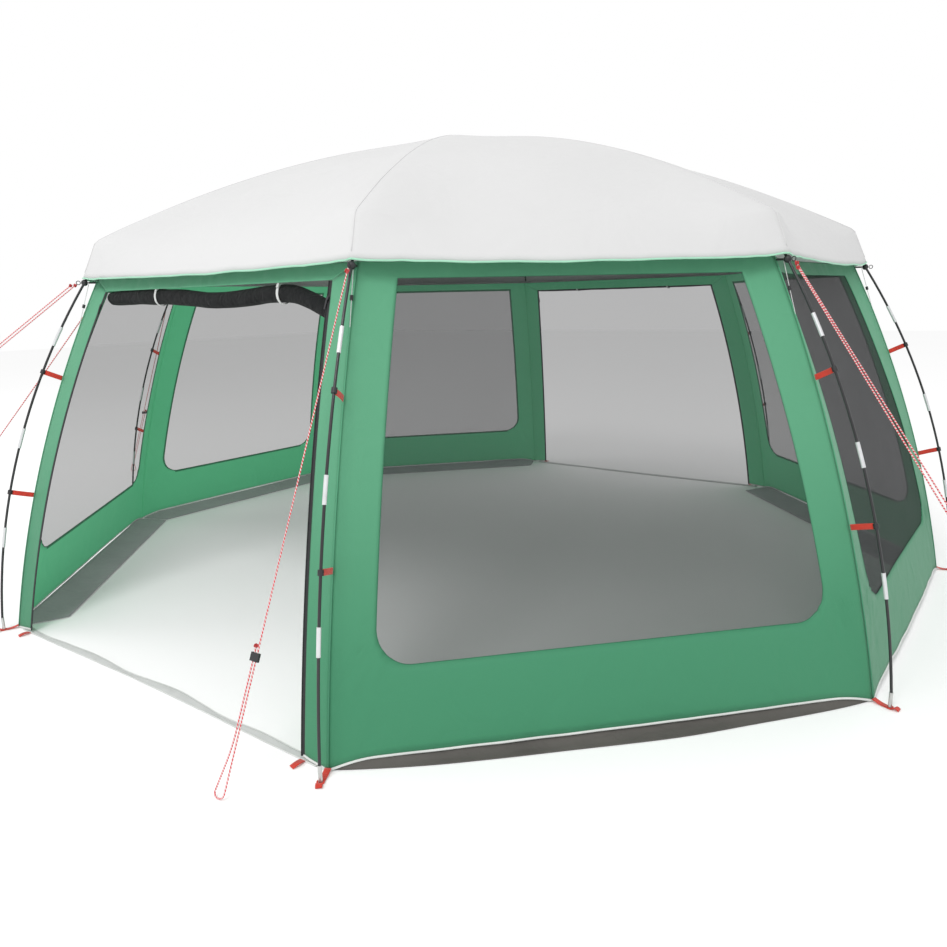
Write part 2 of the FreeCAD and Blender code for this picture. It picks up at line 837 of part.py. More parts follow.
def roll_offset(side, height, outside):
    """Distance from the axis to a roll's centre line, so that its ties just clear the wall."""
    clearance = size("roll_radius") + TIE_SLACK + size("tie_thickness") + 1.5
    across = clearance / math.cos(side.lean(height))
    return side.wall(height) + across if outside else side.wall(height) - across


def roll_tie(name, side, centre, outside):
    """Strap round a roll: a ring, and a flat tail that runs up the band over the doorway."""
    along = Rotation(Vector(1, 0, 0), -90)
    start = centre - Vector(0, size("tie_width") / 2, 0)
    place = side.placement.multiply(Placement(start, along))
    bore = f"{cell('roll_radius')} + {TIE_SLACK}"
    outer = cylinder(f"TieOuter{name}", place, f"{bore} + {cell('tie_thickness')}", cell("tie_width"))
    inner = cylinder(f"TieBore{name}", place, bore, cell("tie_width"))
    ring = cut(f"TieRing{name}", outer, inner)
    height = size("lintel_height")
    lean = side.lean(height)
    hem = Vector(side.wall(height), start.y, height)
    drop = (height - centre.z) * math.cos(lean) + (centre.x - hem.x) * math.sin(lean) + 4
    depth = 0.5 if outside else -size("wall_thickness") - size("tie_thickness") - 0.5
    band_place = Placement(hem, Rotation(Vector(0, 1, 0), -math.degrees(lean)))
    flat = local(side.placement.multiply(band_place), depth, 0, -drop)
    tail = box(f"TieTail{name}", flat, cell("tie_thickness"), cell("tie_width"), f"{drop + 30} mm")
    strap = doc.addObject("Part::MultiFuse", f"Tie{name}")
    strap.Shapes = [ring, tail]
    return strap


def door_rolls():
    """The two rolled-up door panels. The front one sags between its ties and droops at one end."""
    front = SIDES[0]
    radius = size("roll_radius")
    inside = roll_offset(front, 1458, False)
    half = front.seam(1440) - size("jamb_width") - 14
    front_route = [
        Vector(inside, -half, 1458),
        Vector(inside, -0.45 * half, 1463),
        Vector(inside, 0.10 * half, 1425),
        Vector(inside, 0.64 * half, 1460),
        Vector(inside, 0.86 * half, 1415),
        Vector(inside, half, 1365),
    ]
    shape = cord_tube("door_roll_front", front_route, radius)
    node("door_roll_front", feature("DoorRollFront", shape, front.placement))
    back = SIDES[4]
    outside = roll_offset(back, 1508, True)
    width = back.seam(1508) - size("jamb_width") + 40
    back_route = [Vector(outside, -width, 1508), Vector(outside, 0, 1503), Vector(outside, width, 1508)]
    shape = cord_tube("door_roll_back", back_route, radius - 1)
    node("door_roll_back", feature("DoorRollBack", shape, back.placement))
    compound("roll_ties", [
        roll_tie("FrontLeft", front, Vector(inside, -0.45 * half, 1458.2), False),
        roll_tie("FrontRight", front, Vector(inside, 0.64 * half, 1453.1), False),
        roll_tie("BackLeft", back, Vector(outside, -0.50 * half, 1505.4), True),
        roll_tie("BackRight", back, Vector(outside, 0.50 * half, 1505.4), True),
    ])


# ---------------------------------------------------------------------------
# guy ropes, tensioners and the short elastics at the eaves

# Far end of each rope, on the ground or where the rope leaves the set-up, and whether its two
# strands run side by side or one above the other. The strands of an open rope stay apart all the
# way; those of the others are drawn together at the neck of the far loop.
ROPES = {
    1: (Vector(-1388, -2154, 1111), "stacked"),
    2: (Vector(869, -2501, 4), "level"),
    3: (Vector(2517, -791, 622), "level"),
    8: (Vector(-3908, 46, 4), "level"),
}
STANDING_ROPES = (2, 8)
OPEN_ROPES = (3,)
TENSIONER_SHARES = {2: 0.75, 8: 0.60}


def rope_frame(number):
    """Anchor, length, unit vector down the rope and unit vector from strand to strand."""
    anchor = radial(CORNERS[number - 1], ring_reach(), knob_centre()[1]).Base
    far, layout = ROPES[number]
    run = far - anchor
    down = Vector(run).normalize()
    across = down.cross(UP).normalize()
    if layout == "stacked":
        across = across.cross(down)
    return anchor, run.Length, down, across


def guy_rope(number):
    """One rope from the ring to its far loop and back, up to the tensioner or to the knob's strap."""
    anchor, length, down, across = rope_frame(number)
    start = anchor + down * (size("ring_radius") + size("ring_wire_radius") + 0.5)
    far = anchor + down * length
    spread = across * size("strand_spacing")
    stop = 34
    if number in STANDING_ROPES:
        stop = length * TENSIONER_SHARES[number] - size("tensioner_length") / 2 - 24
    route = [start, far, far + across * size("loop_width")]
    if number not in OPEN_ROPES:
        route.append(far - down * size("loop_neck") + spread)
    route.append(anchor + down * stop + spread)
    name = f"guy_rope_{number}"
    shape = cord_tube(name, route, size("rope_radius"))
    return node(name, feature(f"GuyRope{number}", shape))


def wall_rope():
    """Single rope from the front-left wall, beside corner 1, away to the front left."""
    side = SIDES[7]
    height = 1400
    start = side.placement.multVec(Vector(side.wall(height) + 4, side.seam(height) - 22, height))
    end = Vector(-1305, -2182, 702)
    middle = (start + end) / 2 - Vector(0, 0, 6)
    shape = cord_tube("guy_rope_wall", [start, middle, end], size("rope_radius"))
    return node("guy_rope_wall", feature("GuyRopeWall", shape))


def tensioner(number):
    """Flat rope runner with two holes, one for each strand."""
    anchor, length, down, across = rope_frame(number)
    body = doc.addObject("PartDesign::Body", f"Tensioner{number}")
    plate_sketch = sketch_on(body, f"PlateFace{number}", "XY_Plane")
    rectangle(plate_sketch, cell("tensioner_width"), cell("tensioner_depth"))
    plate = body.newObject("PartDesign::Pad", f"Plate{number}")
    plate.Profile = plate_sketch
    plate.Midplane = True
    bind(plate, Length=cell("tensioner_length"))
    hole_sketch = sketch_on(body, f"HoleFace{number}", "XY_Plane")
    for sign in (-1, 1):
        index = hole_sketch.addGeometry(Part.Circle(Vector(sign * 12, 0, 0), UP, 2), False)
        across_mark = hole_sketch.addConstraint(Sketcher.Constraint("DistanceX", -1, 1, index, 3, sign * 12))
        hole_sketch.setExpression(f"Constraints[{across_mark}]", f"{sign} * {cell('strand_spacing')} / 2")
        hole_sketch.addConstraint(Sketcher.Constraint("PointOnObject", index, 3, -1))
        width_mark = hole_sketch.addConstraint(Sketcher.Constraint("Radius", index, 2))
        hole_sketch.setExpression(f"Constraints[{width_mark}]", f"{cell('rope_radius')} + 0.6")
    holes = body.newObject("PartDesign::Pocket", f"Holes{number}")
    holes.Profile = hole_sketch
    holes.Type = 1
    holes.Midplane = True
    doc.recompute()
    middle = anchor + down * (length * TENSIONER_SHARES[number]) + across * (size("strand_spacing") / 2)
    normal = down.cross(across)
    body.Placement = Placement(middle, Rotation(across, normal, down, "ZXY"))
    return node(f"rope_tensioner_{number}", body)


def eave_elastics():
    """Short elastic from each knob down to the corner seam, with a small cord lock on it."""
    elastics = []
    toggles = []
    reach, height = knob_centre()
    top = (reach - 16, height - 6)
    seam_height = height - 194
    bottom = (SEAM.reach(seam_height) + 3, seam_height)
    tilt = math.atan2(bottom[0] - top[0], top[1] - bottom[1])
    length = math.dist(top, bottom)
    for number, corner_angle in enumerate(CORNERS, start=1):
        place = radial(corner_angle, *bottom, tilt)
        elastics.append(cylinder(f"Elastic{number}", place, cell("elastic_radius"), f"{length} mm"))
        lock_place = local(place, 0, 0, length * 0.45)
        barrel = cylinder(f"LockBarrel{number}", lock_place, cell("toggle_radius"), cell("toggle_length"))
        bore = cylinder(f"LockBore{number}", lock_place, f"{cell('elastic_radius')} + 0.4", cell("toggle_length"))
        toggles.append(cut(f"Lock{number}", barrel, bore))
    compound("eave_elastics", elastics)
    compound("cord_locks", toggles)


# ---------------------------------------------------------------------------

for corner_number, angle in enumerate(CORNERS, start=1):
    leg_pole(corner_number, angle)
ferrules()
roof_poles()
elbows()
crown_hub()
foot_tips()
walls()
roof()
ground_cloth()
pole_clips()
eave_fittings()
foot_webbing()
door_peg_loops()
zip_tapes()
for door_side in (SIDES[0], SIDES[4]):
    for hand_sign in (-1, 1):
        zip_slider(door_side, hand_sign)
door_rolls()
for rope_number in ROPES:
    guy_rope(rope_number)
wall_rope()
for rope_number in STANDING_ROPES:
    tensioner(rope_number)
eave_elastics()

doc.recompute()
for thing in doc.Objects:
    if "Invalid" in thing.State or "Error" in thing.State:
        raise RuntimeError(f"{thing.Name} failed: {thing.State}")
for part in NODES:
    if part.Shape.isNull() or not part.Shape.isValid():
        raise RuntimeError(f"{part.Label} has no valid shape")

os.makedirs("parts", exist_ok=True)
for part in NODES:
    part.Shape.exportStep(f"parts/{part.Label}.step")
print(len(NODES), "nodes")
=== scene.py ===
import json
import math

import bpy
from mathutils import Matrix, Vector, noise


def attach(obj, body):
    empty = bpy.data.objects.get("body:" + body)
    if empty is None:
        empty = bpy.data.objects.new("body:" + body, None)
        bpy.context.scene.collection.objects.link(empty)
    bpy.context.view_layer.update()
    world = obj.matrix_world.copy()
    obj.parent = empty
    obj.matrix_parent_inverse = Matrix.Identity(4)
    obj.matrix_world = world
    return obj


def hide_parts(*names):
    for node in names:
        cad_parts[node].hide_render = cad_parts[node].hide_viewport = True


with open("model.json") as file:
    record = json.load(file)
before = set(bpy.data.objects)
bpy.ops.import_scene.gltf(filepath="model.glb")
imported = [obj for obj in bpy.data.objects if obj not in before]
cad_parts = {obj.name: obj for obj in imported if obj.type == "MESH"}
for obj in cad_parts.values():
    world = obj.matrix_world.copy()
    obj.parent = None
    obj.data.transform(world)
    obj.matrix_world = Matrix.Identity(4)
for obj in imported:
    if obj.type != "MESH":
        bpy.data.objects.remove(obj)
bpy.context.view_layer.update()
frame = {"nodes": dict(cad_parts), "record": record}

NODES = frame["nodes"]
MAIN = "shelter"
UP = Vector((0, 0, 1))

# --- camera

CAMERA_PLACE = Vector((2.694, -3.698, 1.403))
CAMERA_RIGHT = Vector((0.80569, 0.59188, -0.02346))
CAMERA_UP = Vector((-0.10671, 0.18398, 0.97712))
CAMERA_BACK = Vector((0.58265, -0.78475, 0.21139))

camera_data = bpy.data.cameras.new("camera")
camera_data.lens = 30.03
camera_data.sensor_width = 36
camera = bpy.data.objects.new("camera", camera_data)
camera.matrix_world = Matrix(
    [[CAMERA_RIGHT[i], CAMERA_UP[i], CAMERA_BACK[i], CAMERA_PLACE[i]] for i in range(3)] + [[0, 0, 0, 1]]
)
bpy.context.collection.objects.link(camera)
bpy.context.scene.camera = camera

# --- shared shape of the shelter, in metres


class Bow:
    """Circular arc over a chord in the (reach, height) half plane, bulging away from the axis."""

    def __init__(self, low, high, bulge):
        chord = math.dist(low, high)
        outward = ((high[1] - low[1]) / chord, (low[0] - high[0]) / chord)
        self.radius = (chord * chord / 4 + bulge * bulge) / (2 * bulge)
        back = self.radius - bulge
        self.centre = (
            (low[0] + high[0]) / 2 - outward[0] * back,
            (low[1] + high[1]) / 2 - outward[1] * back,
        )

    def tilt(self, height):
        return math.asin((height - self.centre[1]) / self.radius)

    def reach(self, height):
        return self.centre[0] + self.radius * math.cos(self.tilt(height))

    def height(self, reach):
        return self.centre[1] + self.radius * math.sin(math.acos((reach - self.centre[0]) / self.radius))


FOOT_REACH = 2.500
LEG = Bow((FOOT_REACH, 0.060), (1.990, 1.535), 0.095)
SEAM = Bow((2.440, 0.004), (1.936, 1.545), 0.060)
KNEE = (1.936, 1.705)
RIDGE = Bow(KNEE, (0, 2.265), 0.100)
HEM = (1.998, 1.550)
WALL_TOP = 1.545
WALL_FOOT = 0.004
LINTEL = 1.488
SILL = 0.300
JAMB_WIDTH = 0.110
WINDOW_CORNER = 0.120
KNOB_HEIGHT = 1.529
KNOB_REACH = LEG.reach(KNOB_HEIGHT)
RING_REACH = KNOB_REACH + 0.025

CORNERS = [math.radians(a) for a in (245.5, 294.5, 340, 20, 65.5, 114.5, 160, 200)]
SIDE_NAMES = ["front", "front_right", "right", "back_right", "back", "back_left", "left", "front_left"]
DOORS = ("front", "back")


def corner_point(number, reach, height, aside=0.0):
    """Point in a corner's upright plane; aside is measured anticlockwise seen from above."""
    angle = CORNERS[number - 1]
    return Vector((
        reach * math.cos(angle) - aside * math.sin(angle),
        reach * math.sin(angle) + aside * math.cos(angle),
        height,
    ))


class Side:
    """One side of the octagon: local x points outwards, y runs along it anticlockwise, z is up."""

    def __init__(self, index):
        start = CORNERS[index]
        span = (CORNERS[(index + 1) % 8] - start) % math.tau
        self.name = SIDE_NAMES[index]
        self.index = index
        self.middle = start + span / 2
        self.half = span / 2
        self.door = self.name in DOORS
        self.low_sag = 0.0 if self.door else 0.012
        self.top_sag = {"front": 0.0, "back": 0.0, "right": -0.085, "left": -0.070}.get(self.name, -0.055)

    def seam(self, z):
        return SEAM.reach(z) * math.sin(self.half)

    def wall(self, z):
        return SEAM.reach(z) * math.cos(self.half)

    def skin(self, y, z, push=0.0):
        """The cloth's outer face: along the seams, and between them out at the foot and in at the top."""
        across = 1 - min(1.0, (y / self.seam(z)) ** 2)
        sag = self.low_sag + (self.top_sag - self.low_sag) * z / WALL_TOP
        return self.place(self.wall(z) + sag * across + push, y, z)

    def place(self, x, y, z):
        c, s = math.cos(self.middle), math.sin(self.middle)
        return Vector((x * c - y * s, x * s + y * c, z))


SIDES = [Side(index) for index in range(8)]
SIDE = {side.name: side for side in SIDES}

# --- materials


def surface(name):
    """New material, with its nodes, its links and its main shader."""
    mat = bpy.data.materials.new(name)
    mat.use_nodes = True
    nodes = mat.node_tree.nodes
    return mat, nodes, mat.node_tree.links, nodes["Principled BSDF"]


def set_inputs(node, **values):
    """Sets inputs of a node, with underscores for the spaces in their names."""
    for name, value in values.items():
        node.inputs[name.replace("_", " ")].default_value = value
    return node


def material(name, colour, roughness, spread=0.05, patch=2.5, crumple=0.0, crumple_scale=14,
             weave=0.0, weave_scale=900, metallic=0.0, alpha=1.0, sheen=0.0, specular=0.5, coat=0.0,
             painted_shade_colour=None, painted_glow=0.0):
    """Principled surface with patchy colour, a crumpled bump and a fine woven one.
    The colour near the ground is painted shade: the base colour darkens towards the ground to stand in for
    less light low down. The emission is painted light: a glow in the base colour that stands in for light
    coming through the cloth."""
    mat, nodes, links, shader = surface(name)
    set_inputs(shader, Metallic=metallic, Alpha=alpha, Sheen_Weight=sheen, Specular_IOR_Level=specular,
               Coat_Weight=coat)
    where = nodes.new("ShaderNodeTexCoord")
    patches = set_inputs(nodes.new("ShaderNodeTexNoise"), Scale=patch, Detail=6)
    links.new(where.outputs["Object"], patches.inputs["Vector"])
    ramp = nodes.new("ShaderNodeValToRGB")
    ramp.color_ramp.elements[0].position = 0.3
    ramp.color_ramp.elements[1].position = 0.7
    ramp.color_ramp.elements[0].color = [c * (1 - spread) for c in colour] + [1]
    ramp.color_ramp.elements[1].color = [min(1, c * (1 + spread)) for c in colour] + [1]
    links.new(patches.outputs["Fac"], ramp.inputs["Fac"])
    tint = ramp.outputs["Color"]
    # painted shade: from 1.05 m down to 0.15 m the base colour blends into the darker colour near the ground
    if painted_shade_colour:
        place = nodes.new("ShaderNodeSeparateXYZ")
        links.new(where.outputs["Object"], place.inputs["Vector"])
        rise = set_inputs(nodes.new("ShaderNodeMapRange"), From_Min=0.15, From_Max=1.05)
        rise.interpolation_type = "SMOOTHSTEP"
        links.new(place.outputs["Z"], rise.inputs["Value"])
        painted_shade_blend = nodes.new("ShaderNodeMix")
        painted_shade_blend.data_type = "RGBA"
        painted_shade_blend.inputs["A"].default_value = [*painted_shade_colour, 1]
        links.new(rise.outputs["Result"], painted_shade_blend.inputs["Factor"])
        links.new(tint, painted_shade_blend.inputs["B"])
        tint = painted_shade_blend.outputs["Result"]
    links.new(tint, shader.inputs["Base Color"])
    # painted light: the surface glows in its own base colour
    if painted_glow:
        set_inputs(shader, Emission_Color=[*colour, 1], Emission_Strength=painted_glow)
    rough = set_inputs(nodes.new("ShaderNodeMapRange"), To_Min=max(0.02, roughness - 0.06),
                       To_Max=min(1.0, roughness + 0.06))
    links.new(patches.outputs["Fac"], rough.inputs["Value"])
    links.new(rough.outputs["Result"], shader.inputs["Roughness"])
    normal = None
    if crumple:
        folds = set_inputs(nodes.new("ShaderNodeTexNoise"), Scale=crumple_scale, Detail=3, Distortion=0.8)
        links.new(where.outputs["Object"], folds.inputs["Vector"])
        normal = set_inputs(nodes.new("ShaderNodeBump"), Strength=1.0, Distance=crumple)
        links.new(folds.outputs["Fac"], normal.inputs["Height"])
    if weave:
        threads = []
        for direction in ("X", "Y", "Z"):
            wave = set_inputs(nodes.new("ShaderNodeTexWave"), Scale=weave_scale / 6.28)
            wave.bands_direction = direction
            links.new(where.outputs["Object"], wave.inputs["Vector"])
            threads.append(wave)
        first = nodes.new("ShaderNodeMath")
        first.operation = "ADD"
        links.new(threads[0].outputs["Fac"], first.inputs[0])
        links.new(threads[1].outputs["Fac"], first.inputs[1])
        both = nodes.new("ShaderNodeMath")
        both.operation = "MULTIPLY"
        links.new(first.outputs["Value"], both.inputs[0])
        links.new(threads[2].outputs["Fac"], both.inputs[1])
        fine = set_inputs(nodes.new("ShaderNodeBump"), Strength=0.5, Distance=weave)
        links.new(both.outputs["Value"], fine.inputs["Height"])
        if normal:
            links.new(normal.outputs["Normal"], fine.inputs["Normal"])
        normal = fine
    if normal:
        links.new(normal.outputs["Normal"], shader.inputs["Normal"])
    return mat


def braid(name, direction, colours, pitch=0.011):
    """Round braid: two colours wound in slanted bands along one straight direction."""
    mat, nodes, links, shader = surface(name)
    set_inputs(shader, Sheen_Weight=0.2, Roughness=0.7)
    where = nodes.new("ShaderNodeTexCoord")
    along = nodes.new("ShaderNodeVectorMath")
    along.operation = "DOT_PRODUCT"
    along.inputs[1].default_value = direction / pitch
    links.new(where.outputs["Object"], along.inputs[0])
    across = nodes.new("ShaderNodeVectorMath")
    across.operation = "DOT_PRODUCT"
    side = direction.cross(UP)
    if side.length < 0.1:
        side = Vector((1, 0, 0))
    across.inputs[1].default_value = side.normalized() * 160
    links.new(where.outputs["Object"], across.inputs[0])
    total = nodes.new("ShaderNodeMath")
    total.operation = "ADD"
    links.new(along.outputs["Value"], total.inputs[0])
    links.new(across.outputs["Value"], total.inputs[1])
    turn = nodes.new("ShaderNodeMath")
    turn.operation = "FRACT"
    links.new(total.outputs["Value"], turn.inputs[0])
    ramp = nodes.new("ShaderNodeValToRGB")
    ramp.color_ramp.interpolation = "LINEAR"
    ramp.color_ramp.elements[0].position = 0.50
    ramp.color_ramp.elements[1].position = 0.58
    ramp.color_ramp.elements[0].color = [*colours[0], 1]
    ramp.color_ramp.elements[1].color = [*colours[1], 1]
    links.new(turn.outputs["Value"], ramp.inputs["Fac"])
    links.new(ramp.outputs["Color"], shader.inputs["Base Color"])
    ridges = set_inputs(nodes.new("ShaderNodeBump"), Strength=0.6, Distance=0.0008)
    links.new(turn.outputs["Value"], ridges.inputs["Height"])
    links.new(ridges.outputs["Normal"], shader.inputs["Normal"])
    return mat


GREEN = (0.088, 0.318, 0.177)
# painted shade: the darker green the walls take near the ground
PAINTED_SHADE_GREEN = (0.043, 0.230, 0.116)
ROOF_WHITE = (0.60, 0.60, 0.60)
CHARCOAL = (0.030, 0.031, 0.033)
ROPE_RED = (0.62, 0.020, 0.035)
ROPE_WHITE = (0.80, 0.62, 0.62)

MATERIALS = {
    "green_cloth": material("green_polyester", GREEN, 0.62, spread=0.035, patch=1.6, crumple=0.006,
                            crumple_scale=7, weave=0.0002, sheen=0.1, specular=0.35, painted_shade_colour=PAINTED_SHADE_GREEN),
    # painted light: the walls' inner face is a lighter copy of the green cloth that glows, standing in for
    # light coming through the cloth
    "green_lining_painted_light": material("green_polyester_inside_painted_light", (0.095, 0.42, 0.215), 0.62, spread=0.035, patch=1.6,
                             crumple=0.006, crumple_scale=7, weave=0.0002, specular=0.3, painted_glow=0.35),
    "roof_cloth": material("white_polyester", ROOF_WHITE, 0.6, spread=0.02, patch=1.2, crumple=0.008,
                           crumple_scale=4.5, weave=0.0002, sheen=0.1, specular=0.3),
    "netting": material("dark_netting", CHARCOAL, 0.85, spread=0.15, patch=3, weave=0.0006,
                        weave_scale=1400, alpha=0.56, specular=0.2),
    "netting_right": material("dark_netting_right", CHARCOAL, 0.85, spread=0.15, patch=3, weave=0.0006,
                              weave_scale=1400, alpha=0.88, specular=0.2),
    "roll_netting": material("rolled_netting", (0.0085, 0.0092, 0.0097), 0.85, spread=0.3, patch=9,
                             crumple=0.009, crumple_scale=26, weave=0.0006, weave_scale=1100,
                             sheen=0.05, specular=0.2),
    # painted light: the flaps inside the walls glow
    "flap_cloth": material("flap_polyester", (0.20, 0.21, 0.21), 0.7, spread=0.12, patch=4, crumple=0.012,
                           crumple_scale=9, weave=0.0003, painted_glow=0.35),
    "flap_outside": material("flap_polyester_outside", (0.085, 0.080, 0.072), 0.7, spread=0.15, patch=4,
                             crumple=0.012, crumple_scale=9, weave=0.0003),
    "white_tape": material("white_webbing", (0.62, 0.63, 0.62), 0.75, spread=0.06, patch=20, crumple=0.0008,
                           crumple_scale=60, weave=0.0006, weave_scale=1500, sheen=0.2),
    "piping": material("hem_binding", (0.70, 0.72, 0.70), 0.7, spread=0.07, patch=12, weave=0.0005,
                       weave_scale=1800, sheen=0.2),
    # painted shade: the corner seams darken towards the ground like the walls
    "seam": material("corner_seam", (0.085, 0.34, 0.185), 0.7, spread=0.05, patch=12, weave=0.0005,
                     weave_scale=1800, painted_shade_colour=(0.05, 0.24, 0.13)),
    "green_piping": material("green_binding", (0.36, 0.70, 0.50), 0.7, spread=0.05, patch=12, weave=0.0005,
                             weave_scale=1800, sheen=0.2),
    "dark_binding": material("window_binding", (0.04, 0.17, 0.095), 0.75, spread=0.1, patch=12, weave=0.0004,
                             weave_scale=1800),
    "red_webbing": material("red_webbing", (0.60, 0.026, 0.007), 0.7, spread=0.12, patch=30, weave=0.0009,
                            weave_scale=1500, sheen=0.3),
    "zip_tape": material("zip_tape", (0.020, 0.021, 0.023), 0.7, spread=0.15, patch=25, weave=0.0008,
                         weave_scale=2200),
    "zip_metal": material("black_zip_metal", (0.035, 0.035, 0.038), 0.35, spread=0.15, patch=60,
                          crumple=0.0002, crumple_scale=180, metallic=0.8),
    "frame_pole": material("black_fibreglass", (0.012, 0.012, 0.014), 0.38, spread=0.2, patch=18,
                           crumple=0.0002, crumple_scale=220, specular=0.5, coat=0.25),
    "ferrule": material("pale_ferrule", (0.66, 0.67, 0.68), 0.36, spread=0.06, patch=25,
                        crumple=0.0001, crumple_scale=160, metallic=0.35),
    "elbow": material("grey_elbow", (0.30, 0.31, 0.32), 0.45, spread=0.08, patch=30, crumple=0.0002,
                      crumple_scale=140, metallic=0.6),
    "foot_tip": material("silver_tip", (0.58, 0.58, 0.57), 0.34, spread=0.1, patch=50, crumple=0.0003,
                         crumple_scale=240, metallic=0.85),
    "black_plastic": material("black_plastic", (0.020, 0.020, 0.022), 0.5, spread=0.15, patch=40,
                              crumple=0.0003, crumple_scale=300, specular=0.5),
    "elastic_cord": material("white_elastic", (0.66, 0.66, 0.66), 0.7, spread=0.12, patch=60, weave=0.0008,
                             weave_scale=2600),
}

# --- building blocks


def piece(name, verts, faces, finish, body=MAIN):
    mesh = bpy.data.meshes.new(name)
    mesh.from_pydata([tuple(v) for v in verts], [], faces)
    mesh.validate()
    mesh.update()
    mesh.shade_smooth()
    mesh.materials.append(MATERIALS[finish] if isinstance(finish, str) else finish)
    thing = bpy.data.objects.new(name, mesh)
    bpy.context.collection.objects.link(thing)
    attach(thing, body)
    return thing


def grid_faces(rows, columns, closed=False, start=0):
    """Quads of a grid of rows by columns; closed joins the last column to the first."""
    faces = []
    last = columns if closed else columns - 1
    for row in range(rows - 1):
        for column in range(last):
            after = (column + 1) % columns
            a, b = start + row * columns, start + (row + 1) * columns
            faces.append((a + column, a + after, b + after, b + column))
    return faces


def thicken(thing, thickness=0.0008, offset=-1.0, lining=None):
    """Gives a sheet its thickness; lining is the finish of its inner face."""
    solid = thing.modifiers.new("cloth", "SOLIDIFY")
    solid.thickness = thickness
    solid.offset = offset
    if lining:
        thing.data.materials.append(MATERIALS[lining])
        solid.material_offset = 1
    return thing


class Shape:
    """Several meshes gathered into one piece."""

    def __init__(self):
        self.verts = []
        self.faces = []

    def grid(self, points, columns):
        start = len(self.verts)
        self.verts += points
        self.faces += grid_faces(len(points) // columns, columns, False, start)

    def tube(self, points, radius, sides=8, ring=False):
        """Round tube along points; ring joins its two ends."""
        count = len(points)
        start = len(self.verts)
        normal = None
        for i, point in enumerate(points):
            before = points[i - 1] if i or ring else points[0]
            after = points[(i + 1) % count] if i < count - 1 or ring else points[-1]
            run = (after - before).normalized()
            if normal is None:
                normal = run.cross(UP if abs(run.z) < 0.9 else Vector((1, 0, 0))).normalized()
            normal = (normal - run * normal.dot(run)).normalized()
            other = run.cross(normal)
            for k in range(sides):
                angle = math.tau * k / sides
                self.verts.append(point + (normal * math.cos(angle) + other * math.sin(angle)) * radius)
        self.faces += grid_faces(count, sides, True, start)
        if ring:
            for k in range(sides):
                after = (k + 1) % sides
                low = start + (count - 1) * sides
                self.faces.append((low + k, low + after, start + after, start + k))
        else:
            self.faces.append(tuple(start + k for k in reversed(range(sides))))
            self.faces.append(tuple(start + (count - 1) * sides + k for k in range(sides)))

    def ribbon(self, points, across, width, thickness, rounded=0.25):
        """Flat strap along points: across is its width's direction, one per point."""
        start = len(self.verts)
        count = len(points)
        section = []
        w, t = width / 2, thickness / 2
        for u, v in ((-1, -rounded), (-0.96, -1), (-0.5, -1), (0, -1), (0.5, -1), (0.96, -1), (1, -rounded),
                     (1, rounded), (0.96, 1), (0.5, 1), (0, 1), (-0.5, 1), (-0.96, 1), (-1, rounded)):
            section.append((u * w, v * t))
        for i, point in enumerate(points):
            run = (points[min(i + 1, count - 1)] - points[max(i - 1, 0)]).normalized()
            side = (across[i] - run * across[i].dot(run)).normalized()
            up = run.cross(side)
            self.verts += [point + side * u + up * v for u, v in section]
        sides = len(section)
        self.faces += grid_faces(count, sides, True, start)
        self.faces.append(tuple(start + k for k in reversed(range(sides))))
        self.faces.append(tuple(start + (count - 1) * sides + k for k in range(sides)))

    def make(self, name, finish, slot=None):
        return piece(name, self.verts, self.faces, finish)


def steps(low, high, count):
    """Evenly spaced values from low to high, both ends included."""
    return [low + (high - low) * i / count for i in range(count + 1)]


def resample(points, count):
    """Points evenly spaced along a polyline given as tuples."""
    lengths = [0.0]
    for a, b in zip(points, points[1:]):
        lengths.append(lengths[-1] + math.dist(a, b))
    result = []
    k = 0
    for i in range(count):
        target = lengths[-1] * i / (count - 1)
        while k < len(points) - 2 and lengths[k + 1] < target:
            k += 1
        span = lengths[k + 1] - lengths[k] or 1
        t = (target - lengths[k]) / span
        result.append(tuple(a + (b - a) * t for a, b in zip(points[k], points[k + 1])))
    return result


def knot(shape, centre, axis, size=0.0042, thickness=0.0019):
    """Small overhand knot."""
    axis = axis.normalized()
    side = axis.cross(UP if abs(axis.z) < 0.9 else Vector((1, 0, 0))).normalized()
    other = axis.cross(side)
    points = []
    for i in range(36):
        t = math.tau * i / 36
        x, y, z = math.sin(t) + 2 * math.sin(2 * t), math.cos(t) - 2 * math.cos(2 * t), -math.sin(3 * t)
        points.append(centre + (side * x * 0.7 + other * y * 0.7 + axis * z * 1.6) * size * 0.6)
    shape.tube(points, thickness, 8, ring=True)


# --- guy ropes: each follows its CAD tube's control points, with a few more beside the loop and the neck,
# where a long straight run ends

ROPE_RADIUS = 0.0025
STRAND_SPACING = 0.012
LOOP_WIDTH = 0.044
LOOP_NECK = 0.150
OPEN_ROPES = (3,)
NECK_HELPER = 0.110
RING_GAP = 0.0101
RUNNER_HALF = 0.013
RUNNER_GAP = 0.024
OPEN_END = 0.034
ROPES = {
    1: ((-1.388, -2.154, 1.111), "stacked", 1.5044),
    2: ((0.869, -2.501, 0.004), "level", 2.1336),
    3: ((2.517, -0.791, 0.622), "level", 2.1894),
    8: ((-3.908, 0.046, 0.004), "level", 3.7348),
}
TENSIONER_SHARES = {2: 0.75, 8: 0.60}
WALL_ROPE_HEIGHT = 1.4
ELASTIC_RADIUS = 0.00125
ELASTIC_DROP = 0.194


def rope_curve(name, points, radius, finish):
    curve = bpy.data.curves.new(name, "CURVE")
    curve.dimensions = "3D"
    curve.bevel_depth = radius
    curve.bevel_resolution = 4
    curve.resolution_u = 24
    spline = curve.splines.new("NURBS")
    spline.points.add(len(points) - 1)
    for slot_, point in zip(spline.points, points):
        slot_.co = (*point, 1)
    spline.order_u = 3
    spline.use_endpoint_u = True
    curve.use_fill_caps = True
    curve.materials.append(finish)
    thing = bpy.data.objects.new(name, curve)
    bpy.context.collection.objects.link(thing)
    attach(thing, MAIN)
    return thing


